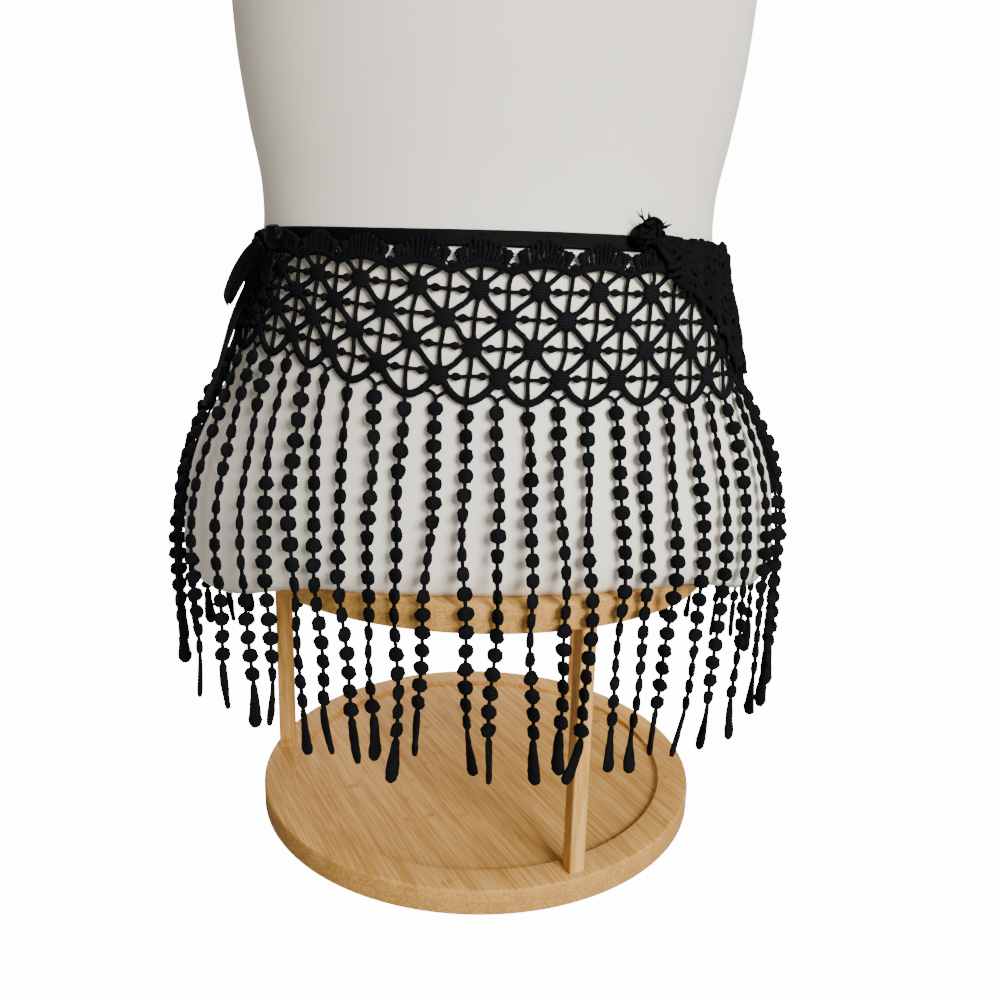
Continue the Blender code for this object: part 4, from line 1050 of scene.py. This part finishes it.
def tautOver(reach, share):
    # the highest chord between two shares that spans each share, never coming back in lower down
    i, j, k = np.meshgrid(*[np.arange(len(share))] * 3, indexing="ij", sparse=True)
    valid = (j <= i) & (k >= i) & (k > j)
    apart = np.where(k > j, share[k] - share[j], 1)[0]
    slope = (reach[:, None, None, :] - reach[:, None, :, None]) / apart
    chord = reach[:, None, :, None] + slope * (share[i] - share[j])[None]
    return np.maximum.accumulate(np.where(valid[None], chord, -1).max(axis=(2, 3)), axis=1)


def hangingPaths(columns, root, samples):
    # a taut line over the hip and tray, then straight down; small waves and a bent drop on top of it
    normal = normalsAt(root)
    sideways = np.stack([-normal[:, 1], normal[:, 0]], axis=1)
    lean, length = strandValues(columns)
    share = np.linspace(0, 1, 40)
    heights = root[:, 2:] + (standValues["trayUnderside"] - 0.002 - root[:, 2:]) * share
    ease = np.clip((root[:, 2:] - heights) / 0.02, 0, 1)
    reach = np.maximum(reachOf(root, normal, heights) + fringeValues["clearance"] * ease, 0)
    reach[:, 0] = 0
    taut = tautOver(reach, share)
    paths = []
    for n in range(len(columns)):
        fineZ = np.linspace(root[n, 2], root[n, 2] - 0.21, 211)
        fineR = np.interp(-fineZ, -heights[n], taut[n])
        run = np.concatenate([[0], np.cumsum(np.hypot(np.diff(fineZ), np.diff(fineR)))])
        paths.append(paired(np.interp(samples[n], run, fineR), np.interp(samples[n], run, fineZ)))
    paths = np.array(paths)
    shift = lean[:, None] * (samples / length[:, None]) ** 1.4
    phase = rng.uniform(0, 2 * np.pi, (3, len(columns), 1))
    grow = np.clip(samples / 0.03, 0, 1)
    waves = 0.0006 * np.sin(samples / 0.0105 + phase[0]) + 0.0009 * np.sin(samples / 0.027 + phase[1])
    shift = shift + grow * waves
    # each drop hangs bent to a side of its own
    drop = fringeValues["dropLength"]
    past = np.clip((samples - length[:, None] + drop) / drop, 0, 1)
    bend = np.clip(nudge((len(columns), 1), fringeValues["dropBend"]), -0.005, 0.005)
    shift = shift + bend * past**1.4
    out = paths[..., 0] + grow * 0.0005 * (1 + np.sin(samples / 0.016 + phase[2]))
    xy = root[:, None, :2] + out[..., None] * normal[:, None] + shift[..., None] * sideways[:, None]
    return np.concatenate([xy, paths[..., 1:]], axis=-1), normal


def addStrands(batch, columns):
    # each strand is one tube: link, flat round beads at even steps, and a long flat drop
    v = fringeValues
    length = strandValues(columns)[1]
    height = v["top"] - v["dip"] * np.sin(np.pi * columns) ** 2 - v["half"]
    lower = v["rootDrop"] * np.cos(np.pi * columns) ** 2
    length = length - lower
    root = onLace(columns, height + 0.0006 - lower, 0.0015)
    # a bead's ring is as full as a circle there
    beadRun = length - v["dropLength"] - v["stem"]
    ring = np.array(v["beadRings"])
    full = np.tile(np.sqrt(np.clip(1 - ring**2, 0, 1)), v["beads"])
    share = (np.arange(v["beads"])[:, None] + 0.5 + ring * v["beadShare"]).reshape(-1) / v["beads"]
    # the drop widens evenly from a neck, then ends round
    dropShare = np.array(v["dropRings"])
    roundEnd = np.clip(1 - ((dropShare - 0.78) / 0.225) ** 2, 0, 1) + (dropShare < 0.78)
    dropFull = np.minimum(0.34 + 0.72 * dropShare, np.sqrt(roundEnd))
    samples = np.concatenate([np.zeros((len(columns), 1)), v["stem"] + beadRun[:, None] * share,
                              (length - v["dropLength"])[:, None] + v["dropLength"] * dropShare], axis=1)
    halfWidth = np.concatenate([[v["link"]], v["link"] + (v["beadHalfWidth"] - v["link"]) * full,
                                v["link"] + (v["dropHalfWidth"] - v["link"]) * dropFull])
    halfDepth = np.concatenate([[v["link"]], v["link"] + (v["beadHalfDepth"] - v["link"]) * full,
                                v["link"] + (v["dropHalfDepth"] - v["link"]) * dropFull])
    size = rng.normal(1, 0.045, (len(columns), len(halfWidth)))
    centre, normal = hangingPaths(columns, root, samples)
    phase = rng.uniform(0, 2 * np.pi, (2, len(columns), 1))
    turns = 0.95 * np.sin(samples / 0.026 + phase[0]) + 0.45 * np.sin(samples / 0.0098 + phase[1])
    twist = np.clip(samples / 0.012, 0, 1) * turns
    outward = np.concatenate([normal, np.zeros((len(normal), 1))], axis=1)[:, None] + np.zeros_like(centre)
    tube(batch, centre, outward, halfWidth[None] * size, halfDepth[None] * size, ribs=0.03, twist=twist)


def makeFringe(name, node, first, last):
    # the lower cord, its arms and a strand on every whole and half column from first to last
    v = fringeValues
    wholes = np.arange(math.ceil(first), math.ceil(last)).astype(float)
    halves = np.arange(math.ceil(first - 0.5), math.ceil(last - 0.5)) + 0.5
    batch = Batch()
    # the lower cord hangs in a bow from disc to disc, lowest on the half column
    t = np.linspace(-v["arcSpan"], v["arcSpan"], 62)[None]
    column = halves[:, None] + t
    bottom = v["top"] - v["dip"]
    height = bottom + v["arcRise"] * (np.abs(t) / v["arcSpan"]) ** 2 + 0 * column
    laidTube(batch, onLace, column, height, v["arcHalf"], v["arcDepth"], lift=0.0001, ribs=0.12)
    # two thin arms meet under each disc and carry the strand between
    for way in (-1, 1):
        start, end = (wholes + way * v["armSpan"], bottom + v["armFoot"]), (wholes, v["top"] - v["armDrop"])
        straightCords(batch, onLace, start, end, v["armHalf"], -way * 0.0007, 0.0075, 0.04, sides=6)
    addStrands(batch, np.sort(np.concatenate([wholes, halves])))
    return batch.piece(name, beadThread, node)


fringeFront = makeFringe("fringeFront", "fringe_front", -front, front)
fringeBack = makeFringe("fringeBack", "fringe_back", front, repeats - front)
print("fringe ready")


# Ribbon

ribbonValues = {
    "low": 0.3142, "high": 0.3215, "out": 0.0006, "thickness": 0.0010, "stations": 320,
    "halfThick": 0.00028,       # of the loop, tail and end
    # rows of column, height, distance out from the form, width
    "loop": ((-4.39, .3120, .0080, .0060), (-4.68, .3050, .0098, .0085), (-4.98, .2960, .0102, .0094),
             (-5.22, .2880, .0106, .0094), (-5.27, .2862, .0121, .0094), (-5.20, .2885, .0136, .0094),
             (-4.94, .2975, .0138, .0094), (-4.64, .3070, .0128, .0085), (-4.39, .3145, .0105, .0060)),
    "tail": ((-4.36, .3090, .0066, .0050), (-4.50, .3030, .0073, .0060), (-4.90, .2850, .0082, .0088),
             (-5.25, .2680, .0082, .0092), (-5.42, .2480, .0085, .0092), (-5.52, .2360, .0098, .0092)),
    "end": ((-4.16, .3104, .0070, .0045), (-4.20, .3030, .0078, .0080), (-4.22, .2960, .0080, .0085)),
    "knot": {"column": -4.15, "height": 0.3165, "out": 0.0076, "size": (0.012, 0.0062, 0.0115),
             "folds": 0.24},
}


def ribbonSection():
    # outline of a flat bar with rounded edges, in half widths and half thicknesses
    t = np.linspace(-1, 1, 9)
    edge = np.sqrt(1 - np.abs(t) ** 6)
    return np.concatenate([t, t[::-1][1:-1]]), np.concatenate([edge, -edge[::-1][1:-1]])


def makeWaistRibbon(values):
    # a flat band round the waist with a faint long wave in its height and lie
    turns = np.arange(values["stations"]) * 2 * np.pi / values["stations"]
    w, d = ribbonSection()
    middle, half = (values["low"] + values["high"]) / 2, (values["high"] - values["low"]) / 2
    height = middle + w[None, :] * half * 0.99 + 0.00018 * np.sin(5 * turns + 0.6)[:, None]
    out = values["out"] + values["thickness"] / 2 + d[None, :] * values["thickness"] * 0.34
    out = out + 0.00010 * np.sin(9 * turns + 1.0)[:, None] * w[None, :]
    x, y = sectionPoint(turns[:, None], height)
    nx, ny = outwardOf(turns[:, None], height)
    points = np.stack([x + nx * out, y + ny * out, height], axis=-1)
    points = np.concatenate([points, points[:1]])
    along = np.concatenate([turns, [2 * np.pi]])[:, None] * 115 + np.zeros((1, len(w)))
    uv = paired(along, (w[None, :] + 1) * 3.6 + np.zeros_like(along))
    batch = Batch()
    batch.addBand(points[:, ::-1], uv[:, ::-1])
    return batch.piece("ribbonWaist", blackSatin, "ribbon_waist")


def smoothRoute(route, stations):
    # a cubic through the route's rows at even steps
    rows = np.array(route)
    knots = np.arange(len(rows), dtype=float)
    t = np.linspace(0, len(rows) - 1, stations)
    index = np.clip(t.astype(int), 0, len(rows) - 2)
    f = (t - index)[:, None]
    slopes = np.gradient(rows, knots, axis=0)
    return ((2 * f**3 - 3 * f**2 + 1) * rows[index] + (f**3 - 2 * f**2 + f) * slopes[index]
            + (3 * f**2 - 2 * f**3) * rows[index + 1] + (f**3 - f**2) * slopes[index + 1])


def makeRibbonRun(name, node, route, stations, curl):
    # a flat bar along a smooth route, its width lying along the skin, cupped a little by curl
    column, height, out, width = smoothRoute(route, stations).T
    path = onBody(column, height, out)
    skin = onBody(column, height, out + 0.01) - path
    ahead = unit(np.gradient(path, axis=0))
    wide = np.cross(skin, np.gradient(path, axis=0))
    wide = wide * np.sign((wide * wide[:1]).sum(axis=1))[:, None]
    wide = unit(wide - (wide * ahead).sum(axis=1)[:, None] * ahead)
    deep = np.cross(ahead, wide)
    w, d = ribbonSection()
    half = width[:, None] / 2 * 0.98
    cup = curl * (w[None, :] ** 2 - 0.5) * np.sin(np.linspace(0, np.pi, stations))[:, None]
    rise = d * ribbonValues["halfThick"] + cup
    points = path[:, None] + wide[:, None] * (half * w)[..., None] + deep[:, None] * rise[..., None]
    steps = np.concatenate([[0], np.cumsum(np.linalg.norm(np.diff(path, axis=0), axis=1))]) * 1000
    batch = Batch()
    ends = np.stack([points[0].mean(axis=0), points[-1].mean(axis=0)])[None]
    batch.addTubes(points[None][:, :, ::-1], ends, steps[None], np.full((1, stations), 16.0))
    return batch.piece(name, blackSatin, node)


def knotFrame(values):
    # a knot's middle, and its own directions as rows: sideways, outward, up
    column, height = values["column"], values["height"]
    nx, ny = outwardOf(turnOf(column, height), height)
    return onBody(column, height, values["out"]), np.array([[-ny, nx, 0.0], [nx, ny, 0.0], [0, 0, 1.0]])


def squared(value):
    # the size raised to 0.75 with its sign kept, which makes a ball blockier
    return np.sign(value) * np.abs(value) ** 0.75


def makeRibbonKnot(values):
    # a rounded block with shallow wrapped folds round it
    centre, axes = knotFrame(values)
    half = np.array(values["size"]) / 2
    lat = np.linspace(-np.pi / 2, np.pi / 2, 25)[1:-1]
    lon = np.arange(32) * 2 * np.pi / 32
    crease = 1 - values["folds"] * np.abs(np.sin(lat[:, None] * 3.0 + 0.9 * np.sin(lon)[None]))
    a = squared(np.cos(lat))[:, None] * squared(np.cos(lon))[None] * crease
    b = squared(np.cos(lat))[:, None] * squared(np.sin(lon))[None] * crease
    c = squared(np.sin(lat))[:, None] + 0 * a
    points = centre + a[..., None] * axes[0] * half[0]
    points = points + b[..., None] * axes[1] * half[1] + c[..., None] * axes[2] * half[2]
    ends = np.stack([centre - axes[2] * half[2], centre + axes[2] * half[2]])[None]
    batch = Batch()
    batch.addTubes(points[None][:, :, ::-1], ends, (lat * 4)[None], np.full((1, len(lat)), 9.0))
    return batch.piece("ribbonKnot", blackSatin, "ribbon_knot")


makeWaistRibbon(ribbonValues)
makeRibbonRun("ribbonLoop", "ribbon_loop", ribbonValues["loop"], 90, 0.0006)
makeRibbonRun("ribbonTail", "ribbon_tail", ribbonValues["tail"], 80, 0.0008)
makeRibbonRun("ribbonEnd", "ribbon_end", ribbonValues["end"], 40, 0.0005)
makeRibbonKnot(ribbonValues["knot"])
print("ribbon ready")


# The lace doubled over at the right side, bunched at the left, and knotted

foldValues = {
    # edge = lower edge as column and height; packed = pattern repeats that the fold takes up
    "right": {
        "first": 2.65, "last": 6.1, "top": 0.3215, "folds": 7, "swell": 0.0032, "slant": 0.2,
        "packed": 5.4, "crush": 0.028, "ruffle": 0.0010,
        "edge": np.array(((2.65, 0.3010), (3.3, 0.2940), (3.9, 0.2850), (4.4, 0.2710), (4.8, 0.2570),
                          (6.1, 0.2545))),
    },
    "left": {
        "first": -5.9, "last": -4.75, "top": 0.2980, "folds": 3, "swell": 0.0008, "slant": -0.3,
        "packed": 1.9, "crush": 0.03, "ruffle": 0.0,
        "edge": np.array(((-5.9, 0.2545), (-4.75, 0.2545))),
    },
    "clearance": 0.0006, "thickness": 0.0014, "lowest": 0.2500, "highest": 0.3190,
}
laceKnotValues = {
    "column": 2.2, "height": 0.3237, "out": 0.0066, "size": (0.0130, 0.0100, 0.0090),
    "tangled": 15, "drawn": 9, "frayed": 34,
    "drawnFrom": 2.95, "drawnTop": 0.3205, "drawnFoot": 0.3035,
}


def foldedPlace(values, skip):
    # the pattern pressed into fewer columns; rise = swell * wave over the folds * a sine down the cloth
    bends = rng.uniform(0, 2 * np.pi, 4)

    def place(column, height, raised):
        u = np.clip((column - skip) / values["packed"], 0, 1)
        v = np.clip((foldValues["highest"] - height) / (foldValues["highest"] - foldValues["lowest"]), 0, 1)
        crush = values["crush"] * np.sin(np.pi * u) * np.sin(np.pi * v)
        u = u + crush * np.sin(11 * v + 19 * u + bends[0])
        v = v + crush * 1.6 * np.sin(23 * u + 5 * v + bends[1])
        shown = values["first"] + (values["last"] - values["first"]) * u
        lower = np.interp(shown, values["edge"][:, 0], values["edge"][:, 1])
        top = values["top"] + values["ruffle"] * np.sin(2 * np.pi * (values["folds"] + 2) * u + bends[2])
        wave = 0.5 - 0.5 * np.cos(2 * np.pi * values["folds"] * u)
        rise = values["swell"] * wave * np.sin(np.pi * np.clip(v, 0.04, 0.96)) ** 0.5
        middle = laceValues["thickness"] + foldValues["clearance"] + foldValues["thickness"] / 2
        middle = middle + rise * 0.775
        return onLace(shown + values["slant"] * (v - 0.5), top + (lower - top) * v,
                      middle + (raised - laceValues["thickness"] / 2) * 0.8)
    return place


def makeFold(name, node, values, layers):
    # the same lace laid once for each layer, each started half a repeat on
    batch = Batch()
    for layer in range(layers):
        skip = 0.1 + layer * 0.5
        makeLace(batch, foldedPlace(values, skip), skip + 0.1, values["packed"] + skip - 0.1)
    return batch.piece(name, laceThread, node)


laceFold = makeFold("laceFoldRight", "lace_fold_right", foldValues["right"], 2)
laceGather = makeFold("laceGatherLeft", "lace_gather_left", foldValues["left"], 1)


def addTangle(batch, centre, axes, half, count):
    # each cord winds round a lump on a great circle of its own, now nearer the middle, now further out
    t = np.linspace(0, 1, 60)[None]
    pole = unit(rng.normal(0, 1, (count, 3)))
    first = unit(np.cross(pole, rng.normal(0, 1, (count, 3))))
    second = np.cross(pole, first)
    angle = rng.uniform(0, 6, (count, 1)) + t * rng.uniform(3.0, 6.0, (count, 1))
    shell = rng.uniform(0.50, 1.05, (count, 1)) + 0.26 * np.sin(5 * t + rng.uniform(0, 6, (count, 1)))
    ball = first[:, None] * np.cos(angle)[..., None] + second[:, None] * np.sin(angle)[..., None]
    ball = ball * shell[..., None]
    tangle = (ball * half * (1.1, 1.0, 1.2)) @ axes - (0, 0, 0.0010)
    tube(batch, centre + tangle, unit(ball @ axes), 0.00112, 0.0009, ribs=0.09)


def addDrawnCords(batch, axes, values):
    # lace drawn into the knot: cords that run in from the doubled lace beside it
    column, height, count = values["column"], values["height"], values["drawn"]
    s = np.linspace(0, 1, 26)[None]
    number = np.arange(count)[:, None]
    endHeight = np.linspace(values["drawnTop"], values["drawnFoot"], count)[:, None]
    cordColumn = column + (values["drawnFrom"] - column) * s + 0.05 * np.sin(6 * s + number)
    cordHeight = height - 0.002 + (endHeight - height + 0.002) * s**1.3
    raised = 0.0042 - 0.0012 * s + 0.0004 * np.sin(9 * s + 2 * number)
    outward = np.broadcast_to(axes[1], (*cordColumn.shape, 3))
    tube(batch, onLace(cordColumn, cordHeight, raised), outward, 0.00125, 0.0010, ribs=0.09)


def addFrayedEnds(batch, centre, axes, half, count):
    # thin threads that leave the lump, most of them upwards, and curl
    s = np.linspace(0, 1, 16)[None]
    lean = np.where(rng.random((count, 1)) < 0.65, (-0.45, 0.1, 1.1), (1.3, 0.0, 0.5))
    start = unit(rng.normal(0, 0.35, (count, 3)) * (0.9, 0.6, 0.6) + lean)
    bend = rng.normal(0, 0.5, (count, 3))
    reach = rng.uniform(0.2, 1.3, (count, 1, 1)) ** 1.3
    ball = start[:, None] * (0.7 + reach * s[..., None]) + bend[:, None] * (s**2)[..., None] * 0.5
    path = centre + (ball * half) @ axes
    thin = 0.00055 - 0.00035 * s
    tube(batch, path, unit(np.cross(np.gradient(path, axis=1), (0.3, 0.2, 1.0))), thin, thin, sides=5)


def makeLaceKnot(values):
    # a tangle of cords, the cords that lead into it, and frayed ends
    centre, axes = knotFrame(values)
    half = np.array(values["size"]) / 2
    batch = Batch()
    addTangle(batch, centre, axes, half, values["tangled"])
    addDrawnCords(batch, axes, values)
    addFrayedEnds(batch, centre, axes, half, values["frayed"])
    return batch.piece("laceKnotRight", laceThread, "lace_knot_right")


makeLaceKnot(laceKnotValues)
print("folds and knots ready")


# Stage, and the bounds of the model and of the scene

def makeStage(values):
    # a round floor that curves up far from the object, the same from every side
    angle = np.linspace(0, np.pi / 2, values["curveRings"])[1:]
    flat, sides = values["flatRadii"], values["sides"]
    radius = np.concatenate([flat, flat[-1] + values["curveWide"] * np.sin(angle)])[:, None]
    height = np.concatenate([np.zeros(len(flat)), values["curveTall"] * (1 - np.cos(angle))])[:, None]
    turns = np.arange(sides) * 2 * np.pi / sides
    ring = np.stack([radius * np.cos(turns), radius * np.sin(turns), height + 0 * turns], axis=-1)
    rings = np.concatenate([np.zeros((1, sides, 3)), ring])
    number = np.arange(rings.shape[0] * sides).reshape(rings.shape[:2])
    after = np.roll(number, -1, axis=1)
    faces = np.stack([number[:-1], number[1:], after[1:], after[:-1]], axis=-1).reshape(-1, 4)
    mesh = bpy.data.meshes.new("floor")
    mesh.from_pydata(rings.reshape(-1, 3).tolist(), [], faces.tolist())
    mesh.shade_smooth()
    mesh.materials.append(stageFinish(values))
    floor = bpy.data.objects.new("floor", mesh)
    bpy.context.collection.objects.link(floor)
    floor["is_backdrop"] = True


makeStage(stageValues)

toLists = lambda box: [[float(v) for v in corner] for corner in box]
{"cad": toLists(cadBox), "visual": toLists(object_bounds())}
